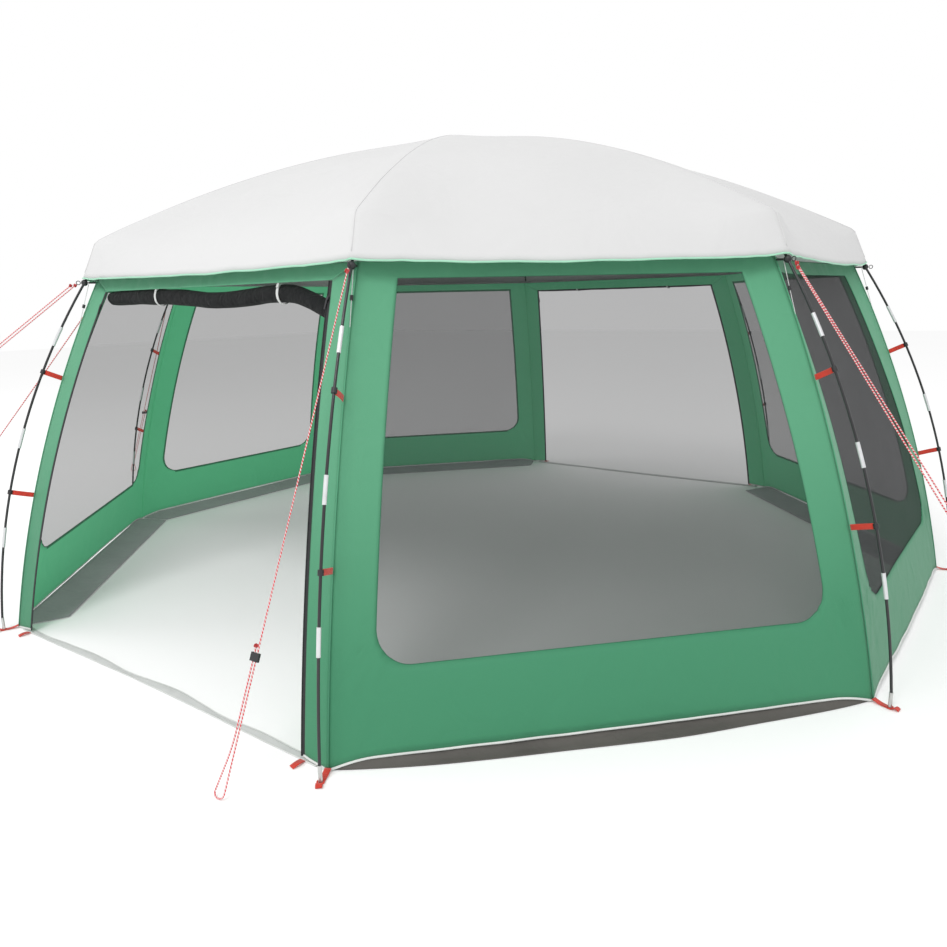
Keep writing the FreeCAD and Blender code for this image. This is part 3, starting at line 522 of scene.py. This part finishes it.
def guy_rope(number):
    far, layout, length = ROPES[number]
    anchor = corner_point(number, RING_REACH, KNOB_HEIGHT)
    run = Vector(far) - anchor
    down = run.normalized()
    across = down.cross(UP).normalized()
    if layout == "stacked":
        across = across.cross(down)
    start = anchor + down * RING_GAP
    loop = anchor + run
    spread = across * STRAND_SPACING
    stop = OPEN_END
    if number in TENSIONER_SHARES:
        stop = run.length * TENSIONER_SHARES[number] - RUNNER_HALF - RUNNER_GAP
    tail = anchor + down * stop + spread
    turn = loop + across * LOOP_WIDTH
    neck = loop - down * LOOP_NECK + spread
    rest = [tail] if number in OPEN_ROPES else [neck, neck - down * NECK_HELPER, tail]
    leaving = (rest[0] - turn).normalized()
    back = leaving if number in OPEN_ROPES else -down
    points = [start, loop - down * LOOP_WIDTH, loop, turn, turn + leaving * LOOP_WIDTH, *rest]
    finish = braid(f"rope_braid_{number}", down, (ROPE_RED, ROPE_WHITE))
    rope = rope_curve(f"rope_{number}", points, ROPE_RADIUS, finish)
    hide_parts(f"guy_rope_{number}")
    knots = Shape()
    knot(knots, start + down * 0.010, down, 0.0050, 0.0022)
    knot(knots, tail - back * 0.004, down, 0.0046, 0.0022)
    knots_piece = knots.make(f"rope_knots_{number}", MATERIALS["rope_red"], "guy_cord")


MATERIALS["rope_red"] = material("red_rope_knot", (0.42, 0.018, 0.018), 0.7, spread=0.35, patch=160,
                                 crumple=0.0006, crumple_scale=420, sheen=0.3)
for rope_number in ROPES:
    guy_rope(rope_number)

wall_side = SIDE["front_left"]
wall_start = wall_side.place(wall_side.wall(WALL_ROPE_HEIGHT) + 0.004,
                             wall_side.seam(WALL_ROPE_HEIGHT) - 0.022, WALL_ROPE_HEIGHT)
wall_end = Vector((-1.305, -2.182, 0.702))
wall_middle = (wall_start + wall_end) / 2 - Vector((0, 0, 0.006))
wall_rope = rope_curve("rope_wall", [wall_start, wall_middle, wall_end], ROPE_RADIUS,
                       braid("rope_braid_wall", (wall_end - wall_start).normalized(), (ROPE_RED, ROPE_WHITE)))
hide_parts("guy_rope_wall")
wall_knots = Shape()
knot(wall_knots, wall_start + (wall_end - wall_start).normalized() * 0.006, wall_end - wall_start)
wall_knots.make("rope_knot_wall", MATERIALS["rope_red"], "guy_cord")

elastic_top = (KNOB_REACH - 0.016, KNOB_HEIGHT - 0.006)
elastic_low = (SEAM.reach(KNOB_HEIGHT - ELASTIC_DROP) + 0.003, KNOB_HEIGHT - ELASTIC_DROP)
for number in range(1, 9):
    ends = [corner_point(number, *elastic_top), corner_point(number, *elastic_low)]
    elastic = rope_curve(f"elastic_{number}", [ends[0], (ends[0] + ends[1]) / 2, ends[1]], ELASTIC_RADIUS,
                         MATERIALS["elastic_cord"])
    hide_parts("eave_elastics")

# --- walls


def creases(side, y, z):
    """How far the cloth stands off its smooth face, in metres."""
    seed = Vector((side.index * 7.3, y * 1.9, z * 1.9))
    out = 0.0045 * noise.noise(seed)
    half = side.seam(z)
    near = max(0.0, 1 - abs(abs(y) - half) / 0.02)
    if not side.door:
        for sign in (-1, 1):
            corner = (sign * (side.seam(SILL) - 0.14), SILL + 0.02)
            dy, dz = y - corner[0], z - corner[1]
            away = math.hypot(dy, dz)
            fan = math.atan2(dz, dy * sign)
            wave = math.sin(9 * fan + 2.2 * side.index)
            out += 0.0030 * math.exp(-away / 0.13) * wave * min(1, away / 0.05)
        foot = math.exp(-z / 0.05)
        out += 0.0035 * foot * noise.noise(Vector((y * 9, side.index * 3.1, 0)))
    band = max(0.0, min(1.0, (z - 1.47) / 0.03))
    out += 0.0034 * band * noise.noise(Vector((y * 26, side.index * 5.7, z * 5)))
    top = max(0.0, (z - 1.15) / 0.4)
    rough = noise.noise(Vector((y * 12, z * 3, side.index * 1.3)))
    out += 0.0030 * top * rough * max(0.0, 1 - (half - abs(y)) / 0.25)
    if side.door:
        near = max(near, 1 - abs(abs(y) - half + JAMB_WIDTH) / 0.03)
    return out * (1 - near)


def hem_height(side, y):
    """The lower hem is pegged at its corners and lifts off the ground between them."""
    share = min(1.0, (side.seam(WALL_FOOT) - abs(y)) / 0.16)
    rise = 0.012 if side.door else 0.024
    return WALL_FOOT + rise * math.sin(share * math.pi / 2)


def strip_width(side, sign, z):
    """Width of the upright strip between seam and window."""
    if side.name == "right" and sign < 0:
        return 0.17 - 0.115 * min(1.0, max(0.0, z) / LINTEL)
    return 0.140


def window_edge(side, sign, z):
    """Half width of the window at a height, with its rounded lower corners."""
    width = side.seam(z) - strip_width(side, sign, z)
    if z < SILL + WINDOW_CORNER:
        drop = SILL + WINDOW_CORNER - z
        width -= WINDOW_CORNER - math.sqrt(max(0.0, WINDOW_CORNER ** 2 - drop ** 2))
    return width


def window_outline(side):
    """Four runs of (y, z) points: bottom, right, top and left, going anticlockwise."""
    split = SILL + WINDOW_CORNER * (1 - math.sqrt(0.5))
    count = 16
    low = [SILL + (split - SILL) * (i / count) ** 2 for i in range(count + 1)]
    bottom = [(-window_edge(side, -1, z), z) for z in reversed(low)]
    bottom += [(window_edge(side, 1, z), z) for z in low]
    rise = steps(split, LINTEL, 60)
    right = [(window_edge(side, 1, z), z) for z in rise]
    left = [(-window_edge(side, -1, z), z) for z in reversed(rise)]
    return [bottom, right, [right[-1], left[0]], left]


def wall_outline(side):
    width = side.seam(WALL_FOOT)
    bottom = [(y, hem_height(side, y)) for y in (width * (i / 60) for i in range(-60, 61))]
    rise = steps(WALL_FOOT, WALL_TOP, 60)
    right = [(side.seam(z), z) for z in rise]
    left = [(-y, z) for y, z in reversed(right)]
    return [bottom, right, [right[-1], left[0]], left]


RINGS = 11
COUNTS = (110, 84, 96, 84)


def frame_points(outer_runs, inner_runs, counts):
    outer, inner = [], []
    for outer_run, inner_run, count in zip(outer_runs, inner_runs, counts):
        outer += resample(outer_run, count)[:-1]
        inner += resample(inner_run, count)[:-1]
    return outer, inner


def ruled(side, outer, inner, rings):
    points = []
    for ring in range(rings):
        t = ring / (rings - 1)
        for (y0, z0), (y1, z1) in zip(outer, inner):
            y, z = y0 + (y1 - y0) * t, z0 + (z1 - z0) * t
            points.append(side.skin(y, z, creases(side, y, z)))
    return points


def wall_flat(side):
    """Cut size of one side's cloth."""
    return 2 * side.seam(WALL_FOOT), 1.63


def netting_points(side, rows=40, columns=48, push=-0.003, margin=0.012):
    points = []
    for row in range(rows):
        t = row / (rows - 1)
        z = SILL - margin + (LINTEL + 2 * margin - SILL) * t ** 1.35
        shaped = min(max(z, SILL + 0.0005), LINTEL)
        left, right = window_edge(side, -1, shaped) + margin, window_edge(side, 1, shaped) + margin
        for column in range(columns):
            y = -left + (left + right) * column / (columns - 1)
            points.append(side.skin(y, z, push + 0.6 * creases(side, y, z)))
    return points, rows, columns


def window_side(side):
    outer_runs, inner_runs = wall_outline(side), window_outline(side)
    outer, inner = frame_points(outer_runs, inner_runs, COUNTS)
    points = ruled(side, outer, inner, RINGS)
    columns = len(outer)
    cloth = thicken(piece(f"cloth_{side.name}", points, grid_faces(RINGS, columns, True), "green_cloth"),
                    lining="green_lining_painted_light")
    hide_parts(f"wall_{side.name}")
    binding = Shape()
    binding.tube(points[-columns:], 0.0011, 6, ring=True)
    binding.make(f"window_binding_{side.name}", "dark_binding", "green_cloth")
    hem = Shape()
    bottom_count = COUNTS[0]
    hem.tube(points[:bottom_count], 0.0042, 8)
    hem_piece = hem.make(f"hem_{side.name}", "piping", "white_tape")
    width, length = wall_flat(side)
    window = (2 * side.seam(0.9) - 0.28) * (LINTEL - SILL)
    net_points, rows, net_columns = netting_points(side)
    net = piece(f"netting_{side.name}", net_points, grid_faces(rows, net_columns),
                "netting_right" if side.name == "right" else "netting")
    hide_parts(f"window_mesh_{side.name}")
    2 * side.seam(0.5) - 0.26


def door_side(side):
    rise = steps(WALL_FOOT, WALL_TOP, 60)
    hem = WALL_FOOT + 0.012
    inner_rise = steps(hem, LINTEL, 60)
    right_out = [(side.seam(z), z) for z in rise]
    right_in = [(side.seam(z) - JAMB_WIDTH, z) for z in inner_rise]
    left_out = [(-y, z) for y, z in reversed(right_out)]
    left_in = [(-y, z) for y, z in reversed(right_in)]
    runs = (
        ("jamb_right", right_out, right_in, 84, (0.12, 1.58)),
        ("lintel", [right_out[-1], left_out[0]], [right_in[-1], left_in[0]], 110, (0.06, 1.70)),
        ("jamb_left", left_out, left_in, 84, (0.12, 1.58)),
    )
    for part, outer_run, inner_run, columns, flat in runs:
        points = ruled(side, resample(outer_run, columns), resample(inner_run, columns), RINGS)
        cloth = thicken(piece(f"{part}_{side.name}", points, grid_faces(RINGS, columns), "green_cloth"),
                        lining="green_lining_painted_light")
        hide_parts(f"wall_{side.name}")
        if part != "lintel":
            hem_column = 0 if part == "jamb_right" else columns - 1
            hem = Shape()
            hem.tube([points[ring * columns + hem_column] for ring in range(RINGS)], 0.0042, 8)
            hem.make(f"hem_{part}_{side.name}", "piping", "white_tape")


for side in SIDES:
    if side.door:
        door_side(side)
    else:
        window_side(side)

seams = Shape()
for number in range(1, 9):
    heights = steps(WALL_FOOT, WALL_TOP, 60)
    seams.tube([corner_point(number, SEAM.reach(z) + 0.0015, z) for z in heights], 0.0024, 8)
seams.make("corner_seams", "seam", "green_cloth")

# zip tapes along the jambs, with their coils
zips = Shape()
for side in (SIDE["front"], SIDE["back"]):
    for sign in (-1, 1):
        heights = [0.012 + (LINTEL - 0.014) * i / 90 for i in range(91)]
        tape = []
        for z in heights:
            edge = side.seam(z) - JAMB_WIDTH
            for inset in (-0.004, 0.0, 0.006, 0.0115):
                proud = 0.0006 if inset < 0.01 else 0.0
                tape.append(side.place(side.wall(z) + proud, sign * (edge - inset), z))
        zips.grid(tape, 4)
        coil = [side.place(side.wall(z) + 0.0012, sign * (side.seam(z) - JAMB_WIDTH - 0.0105), z)
                for z in heights]
        zips.tube(coil, 0.0017, 8)
zip_piece = zips.make("door_zips", "zip_tape")
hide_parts("zip_tapes")

# --- roof: one continuous canopy from the crown to the hem


def profile(start=KNEE[0], rounds=3):
    """(reach, height) from the hem over the shoulder to the crown, with the shoulder rounded off.
    The cloth joins the dome at the reach called start."""
    shoulder = (start, RIDGE.height(start))
    line = []
    for i in range(20):
        t = i / 20
        pull = [HEM[k] * (1 - t) ** 2 + 2 * KNEE[k] * t * (1 - t) + shoulder[k] * t * t for k in (0, 1)]
        line.append(tuple(pull))
    for i in range(61):
        reach = start * (1 - i / 60) + 0.012 * i / 60
        line.append((reach, RIDGE.height(reach)))
    for _ in range(rounds):
        smooth = [line[0]]
        for a, b in zip(line, line[1:]):
            smooth.append((0.75 * a[0] + 0.25 * b[0], 0.75 * a[1] + 0.25 * b[1]))
            smooth.append((0.25 * a[0] + 0.75 * b[0], 0.25 * a[1] + 0.75 * b[1]))
        smooth.append(line[-1])
        line = smooth
    return resample(line, 84)


ROOF_COLUMNS = 34
ROUND_START = 1.50
CROWN_TOP = 2.2645


def roof_shares():
    """(side, share) around the roof; share runs from -1 to 1 between a side's two ridges."""
    result = []
    for side in SIDES:
        for column in range(ROOF_COLUMNS):
            share = -1 + 2 * column / ROOF_COLUMNS
            share = math.copysign(1 - (1 - abs(share)) ** 1.25, share)
            result.append((side, share))
    return result


def roof_point(side, share, ridge_point, middle_point, level):
    """level is 0 at the hem and 1 at the crown. Between the ridges the shoulder is far rounder."""
    y_share = math.tan(side.half) * share
    edge = 1 - abs(share)
    mix = min(1.0, edge / 0.45)
    mix = mix * mix * (3 - 2 * mix)
    reach = ridge_point[0] + (middle_point[0] - ridge_point[0]) * mix
    height = ridge_point[1] + (middle_point[1] - ridge_point[1]) * mix
    blunt = 0.009 * max(0.0, 1 - edge / 0.10) ** 2 * min(1.0, level / 0.3)
    x = reach * math.cos(side.half) * (1 - blunt)
    y = x * y_share
    outward = min(1.0, reach / KNEE[0])
    between = 1 - share * share
    sag = 0.020 * between * outward * (1 - outward * 0.55)
    z = height - sag
    if level < 0.12:
        down = 1 - level / 0.12
        z -= 0.008 * down * min(1.0, edge / 0.10)
    fan = math.exp(-((1 - outward) / 0.20)) * max(0.0, 1 - edge / 0.45)
    z += 0.006 * fan * noise.noise(Vector((share * 17, side.index * 2.1, reach * 3)))
    z += 0.006 * noise.noise(Vector((x * 1.4, y * 1.4, side.index * 4.7))) * min(1.0, edge / 0.15)
    ripple = math.exp(-((1 - outward) / 0.08))
    z += 0.0035 * ripple * noise.noise(Vector((y * 7, side.index * 3.3, x * 5)))
    return side.place(x, y, z)


roof_rows = profile()
round_rows = profile(ROUND_START)
shares_around = roof_shares()
roof_verts = []
for row, (ridge_point, middle_point) in enumerate(zip(roof_rows, round_rows)):
    level = row / (len(roof_rows) - 1)
    roof_verts += [roof_point(side, share, ridge_point, middle_point, level) for side, share in shares_around]
around = len(shares_around)
roof_faces = grid_faces(len(roof_rows), around, True)
crown = len(roof_verts)
roof_verts.append(Vector((0, 0, CROWN_TOP)))
last_row = (len(roof_rows) - 1) * around
roof_faces += [(last_row + k, last_row + (k + 1) % around, crown) for k in range(around)]
canopy = thicken(piece("canopy", roof_verts, roof_faces, "roof_cloth"))
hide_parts("roof_gores", "roof_skirt")
roof_hem = Shape()
roof_hem.tube(roof_verts[:around], 0.0034, 8, ring=True)
roof_hem_piece = roof_hem.make("roof_hem", "green_piping", "roof_cloth")

ridge_seams = Shape()
for k in range(8):
    column = k * ROOF_COLUMNS
    ridge_seams.tube([roof_verts[row * around + column] + Vector((0, 0, 0.0002))
                      for row in range(1, len(roof_rows))], 0.0016, 6)
ridge_seams.make("ridge_seams", "roof_cloth", "roof_cloth")

# soffit between the walls' top and the roof's hem
SOFFIT_RINGS = 5
soffit_verts = []
for ring in range(SOFFIT_RINGS):
    t = ring / (SOFFIT_RINGS - 1)
    for k, (side, share) in enumerate(shares_around):
        wall_point = side.skin(side.seam(WALL_TOP) * share, WALL_TOP, -0.001)
        hem_point = roof_verts[around + k]
        point = wall_point.lerp(hem_point, t * 0.985)
        point.z = WALL_TOP + 0.002 + (hem_point.z - WALL_TOP) * t * 0.6
        soffit_verts.append(point)
soffit = piece("soffit", soffit_verts, grid_faces(SOFFIT_RINGS, around, True), "roof_cloth")
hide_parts("roof_soffit")

# --- ground: mud flaps and door sills


FLAP_ROWS = 18
FLAP_HEM_ROW = 8
FLAP_DEPTH = 0.185
FLAP_LENS = 0.066
SILL_ROWS = 6
SILL_COLUMNS = 80


def flap_points(side):
    """Rows from the outer edge, up to the hem and down to the ground inside."""
    columns = 90
    width = side.seam(WALL_FOOT) - 0.015
    rows = []
    for row in range(FLAP_ROWS):
        points = []
        for column in range(columns):
            share = -1 + 2 * column / (columns - 1)
            y = width * share
            swell = noise.noise(Vector((y * 2.3, side.index * 5.1, 0)))
            lens = (1 - share * share) ** 0.8 * (1 + 0.18 * swell)
            hem_z = hem_height(side, y) - 0.004
            outer = FLAP_LENS * lens if side.name == "front_right" else 0.0
            wobble = noise.noise(Vector((y * 6, row * 0.7, side.index * 2.7)))
            if row <= FLAP_HEM_ROW:
                t = row / FLAP_HEM_ROW
                x = side.wall(0.01) + outer * (1 - t) - 0.003
                z = 0.0015 + (hem_z - 0.0015) * t ** 1.6 + 0.003 * lens * (1 - t) * t * 4 * wobble
            else:
                t = (row - FLAP_HEM_ROW) / (FLAP_ROWS - 1 - FLAP_HEM_ROW)
                x = side.wall(0.01) - 0.003 - FLAP_DEPTH * t
                z = 0.002 + (hem_z - 0.002) * (1 - t) ** 3 + 0.004 * t * (1 + wobble) * (1 - 0.4 * t)
            limit = x * math.tan(side.half) - 0.006
            points.append(side.place(x, max(-limit, min(limit, y)), max(0.001, z)))
        rows += points
    return rows, FLAP_ROWS, columns


for side in SIDES:
    if side.door:
        continue
    points, rows, columns = flap_points(side)
    finish = "flap_outside" if side.name == "front_right" else "flap_cloth"
    flap = thicken(piece(f"mud_flap_{side.name}", points, grid_faces(rows, columns), finish),
                   0.0007, 1.0)
    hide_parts("mud_flaps")

for side in (SIDE["front"], SIDE["back"]):
    edge = side.seam(0.004) - 0.05
    outer = side.wall(0.004) - 0.008
    points = []
    for row in range(SILL_ROWS):
        for column in range(SILL_COLUMNS):
            share = -1 + 2 * column / (SILL_COLUMNS - 1)
            slack = 0.5 + 0.5 * noise.noise(Vector((share * 3.1, side.index, 0)))
            x = outer - 0.007 * row * (0.35 + 1.1 * slack) - 0.006 * math.cos(share * 3) + 0.006
            limit = x * math.tan(side.half) - 0.004
            z = 0.002 + 0.002 * slack * math.sin(row / (SILL_ROWS - 1) * math.pi)
            points.append(side.place(x, max(-limit, min(limit, share * edge)), z))
    sill = thicken(piece(f"door_sill_{side.name}", points, grid_faces(SILL_ROWS, SILL_COLUMNS), "white_tape"),
                   0.001, 1.0)
    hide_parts("door_sills")
    cords = Shape()
    cords.tube([p + Vector((0, 0, 0.001)) for p in points[:SILL_COLUMNS]], 0.0024, 8)
    cords.tube([p + Vector((0, 0, 0.001)) for p in points[-SILL_COLUMNS:]], 0.0018, 8)
    edging = cords.make(f"sill_edging_{side.name}", "piping", "white_tape")

# --- webbing at the clips and feet

CLIP_HEIGHTS = (0.630, 1.150)
EYELET_RADIUS = 0.0105

tabs = Shape()
for number in range(1, 9):
    for height in CLIP_HEIGHTS:
        tilt = LEG.tilt(height)
        normal = Vector((math.cos(tilt), 0, math.sin(tilt)))
        span = (LEG.reach(height) - SEAM.reach(height)) * math.cos(tilt)
        middle = (LEG.reach(height), height)
        points, across = [], []
        for i in range(9):
            t = i / 8
            along = -span + 0.001 + (span - 0.009) * t
            bow = 0.0025 * math.sin(t * math.pi)
            reach, rise = middle[0] + normal.x * along, middle[1] + normal.z * along
            points.append(corner_point(number, reach, rise, bow))
            a = CORNERS[number - 1]
            across.append(Vector((-math.sin(tilt) * math.cos(a), -math.sin(tilt) * math.sin(a),
                                  math.cos(tilt))))
        tabs.ribbon(points, across, 0.021, 0.0022)
tab_piece = tabs.make("clip_webbing", "red_webbing")
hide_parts("clip_tabs")

feet = Shape()
for number in range(1, 9):
    a = CORNERS[number - 1]
    side_way = Vector((-math.sin(a), math.cos(a), 0))
    for start, stop, sway in ((2.441, 2.4905, 0.0), (2.5095, 2.530, 0.006)):
        points, across = [], []
        for i in range(8):
            t = i / 7
            rise = 0.0025 + 0.007 * math.sin(t * math.pi)
            if start < FOOT_REACH:
                rise = 0.003 + 0.010 * (1 - t) ** 2
            points.append(corner_point(number, start + (stop - start) * t, rise, sway * t))
            across.append(side_way)
        feet.ribbon(points, across, 0.022, 0.0022)
    ring = []
    for i in range(20):
        angle = math.tau * i / 20
        ring.append(corner_point(number, FOOT_REACH + EYELET_RADIUS * math.cos(angle), 0.004,
                                 EYELET_RADIUS * math.sin(angle)))
    feet.tube(ring, 0.0028, 8, ring=True)
foot_piece = feet.make("foot_straps", "red_webbing")
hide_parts("foot_webbing")

loops = Shape()
for side in (SIDE["front"], SIDE["back"]):
    for sign in (-1, 1):
        edge = sign * (side.seam(0) - JAMB_WIDTH)
        reach = side.wall(0) + 0.002
        points, across = [], []
        for i in range(10):
            t = i / 9
            points.append(side.place(reach + 0.050 * t, edge + 0.004 * math.sin(t * 3),
                                     0.003 + 0.006 * math.sin(t * math.pi)))
            across.append(side.place(0, 1, 0))
        loops.ribbon(points, across, 0.022, 0.0024)
loop_piece = loops.make("peg_loops", "red_webbing")
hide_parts("door_peg_loops")

# --- doors: rolled panels and their ties


def smooth_route(points, count):
    """Points on the quadratic spline of a roll's control polygon, near the CAD bar's line."""
    line = [points[0]]
    for a, b, c in zip(points, points[1:], points[2:]):
        first = a if a is points[0] else (a + b) / 2
        last = c if c is points[-1] else (b + c) / 2
        for i in range(1, 13):
            t = i / 12
            line.append(first * (1 - t) ** 2 + b * 2 * t * (1 - t) + last * t * t)
    return [Vector(p) for p in resample([tuple(p) for p in line], count)]


def roll(name, node_name, side, route, radius):
    """Rolled panel: a spiral section, uneven as cloth is, along the route."""
    turns, around_count, layers = 9, 22, 70
    centres = smooth_route(route, layers)
    outward = side.place(1, 0, 0)
    verts = []
    section = turns * around_count + 1
    for j, centre in enumerate(centres):
        run = (centres[min(j + 1, layers - 1)] - centres[max(j - 1, 0)]).normalized()
        up = (UP - run * UP.dot(run)).normalized()
        out = run.cross(up) if run.cross(up).dot(outward) > 0 else up.cross(run)
        end = min(j, layers - 1 - j) / layers
        for i in range(section):
            angle = math.tau * i / around_count
            share = 1 - i / (section - 1) * 0.78
            twist = angle + 0.6 * j / layers
            folds = noise.noise(Vector((math.cos(twist) * 1.4, math.sin(twist) * 1.4, j * 0.16 + side.index)))
            fine = noise.noise(Vector((math.cos(twist) * 4, math.sin(twist) * 4, j * 0.35)))
            r = radius * share * (1 + 0.10 * folds + 0.035 * fine) * (1 - 0.10 * math.exp(-end * 40))
            verts.append(centre + (up * math.cos(angle) + out * math.sin(angle)) * r)
    thing = piece(name, verts, grid_faces(layers, section), "roll_netting")
    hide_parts(node_name)
    return thing, centres


front, back = SIDE["front"], SIDE["back"]
ROLL_CLEARANCE = 0.0393
FRONT_ROLL_RADIUS = 0.0325
FRONT_ROLL_HEIGHT = 1.458
BACK_ROLL_RADIUS = 0.0315
BACK_ROLL_HEIGHT = 1.508
TIE_WIDTH = 0.012
TIE_THICKNESS = 0.0016


def roll_offset(side, height, outside):
    lean = math.atan(math.tan(SEAM.tilt(height)) * math.cos(side.half))
    across = ROLL_CLEARANCE / math.cos(lean)
    return side.wall(height) + across if outside else side.wall(height) - across


inside = roll_offset(front, FRONT_ROLL_HEIGHT, False)
half = front.seam(1.440) - 0.124
front_route = [front.place(inside, y, z) for y, z in (
    (-half, FRONT_ROLL_HEIGHT), (-0.45 * half, 1.463), (0.10 * half, 1.425), (0.64 * half, 1.460),
    (0.86 * half, 1.415), (half, 1.365))]
front_roll, front_line = roll("door_roll_netting_front", "door_roll_front", front, front_route,
                               FRONT_ROLL_RADIUS)
outside = roll_offset(back, BACK_ROLL_HEIGHT, True)
reach_back = back.seam(BACK_ROLL_HEIGHT) - 0.070
back_route = [back.place(outside, y, z) for y, z in (
    (-reach_back, BACK_ROLL_HEIGHT), (0, 1.503), (reach_back, BACK_ROLL_HEIGHT))]
back_roll, back_line = roll("door_roll_netting_back", "door_roll_back", back, back_route, BACK_ROLL_RADIUS)

straps = Shape()
for side, line, shares, radius, outer in ((front, front_line, (0.271, 0.811), FRONT_ROLL_RADIUS, False),
                                          (back, back_line, (0.25, 0.75), BACK_ROLL_RADIUS, True)):
    for share in shares:
        index = int(share * (len(line) - 1))
        centre = line[index]
        run = (line[index + 1] - line[index - 1]).normalized()
        up = (UP - run * UP.dot(run)).normalized()
        out = run.cross(up)
        if out.dot(side.place(1, 0, 0)) < 0:
            out = -out
        points = []
        for i in range(41):
            angle = math.tau * i / 40
            loose = radius * 1.09 + 0.0015 * math.sin(3 * angle)
            points.append(centre + (up * math.cos(angle) + out * math.sin(angle)) * loose)
        straps.ribbon(points, [run] * len(points), TIE_WIDTH, TIE_THICKNESS)
        depth = 0.0025 if outer else -0.0035
        local_y = centre.dot(side.place(0, 1, 0))
        low_z = centre.z + 0.022 if not outer else centre.z - 0.004
        top_z = LINTEL + 0.036
        rises = [low_z + (top_z - low_z) * (i / 10) for i in range(11)]
        tail = [side.place(side.wall(z) + depth, local_y + 0.002, z) for z in rises]
        straps.ribbon(tail, [side.place(0, 1, 0)] * len(tail), TIE_WIDTH, TIE_THICKNESS)
strap_piece = straps.make("roll_straps", "white_tape")
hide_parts("roll_ties")

# --- hardware from the CAD model keeps its shape and gets its finish

for subpart in frame["record"]["subparts"]:
    thing = NODES[subpart["node"]]
    if thing.hide_render:
        continue
    thing.data.materials.clear()
    thing.data.materials.append(MATERIALS[subpart["material_slot"]])

# --- floor, light and picture settings

bpy.ops.mesh.primitive_plane_add(size=60, location=(0, 0, -0.0005))
floor = bpy.context.object
floor.name = "floor"
floor_finish = material("pale_floor", (0.94, 0.94, 0.94), 0.9, spread=0.004, patch=0.4, specular=0.0)
set_inputs(floor_finish.node_tree.nodes["Principled BSDF"], Emission_Color=(1, 1, 1, 1),
           Emission_Strength=0.06)
floor.data.materials.append(floor_finish)

world = bpy.data.worlds.new("studio")
world.use_nodes = True
world_nodes, world_links = world.node_tree.nodes, world.node_tree.links
backdrop = world_nodes["Background"]
backdrop.inputs["Color"].default_value = (1, 1, 1, 1)
rays = world_nodes.new("ShaderNodeLightPath")
strength = set_inputs(world_nodes.new("ShaderNodeMapRange"), To_Min=0.95, To_Max=1.0)
world_links.new(rays.outputs["Is Camera Ray"], strength.inputs["Value"])
world_links.new(strength.outputs["Result"], backdrop.inputs["Strength"])
bpy.context.scene.world = world


def soft_light(name, place, target, width, watts):
    data = bpy.data.lights.new(name, "AREA")
    data.shape = "DISK"
    data.size = width
    data.energy = watts
    lamp = bpy.data.objects.new(name, data)
    lamp.location = place
    lamp.rotation_euler = (Vector(target) - Vector(place)).to_track_quat("-Z", "Y").to_euler()
    bpy.context.collection.objects.link(lamp)


soft_light("key", (2.5, -7.5, 8.5), (0, 0, 0.8), 4, 360)
soft_light("left", (-7.5, -4.5, 7.5), (0, 0, 0.8), 5, 120)

bpy.context.scene.view_settings.view_transform = "Standard"
bpy.context.scene.view_settings.look = "None"
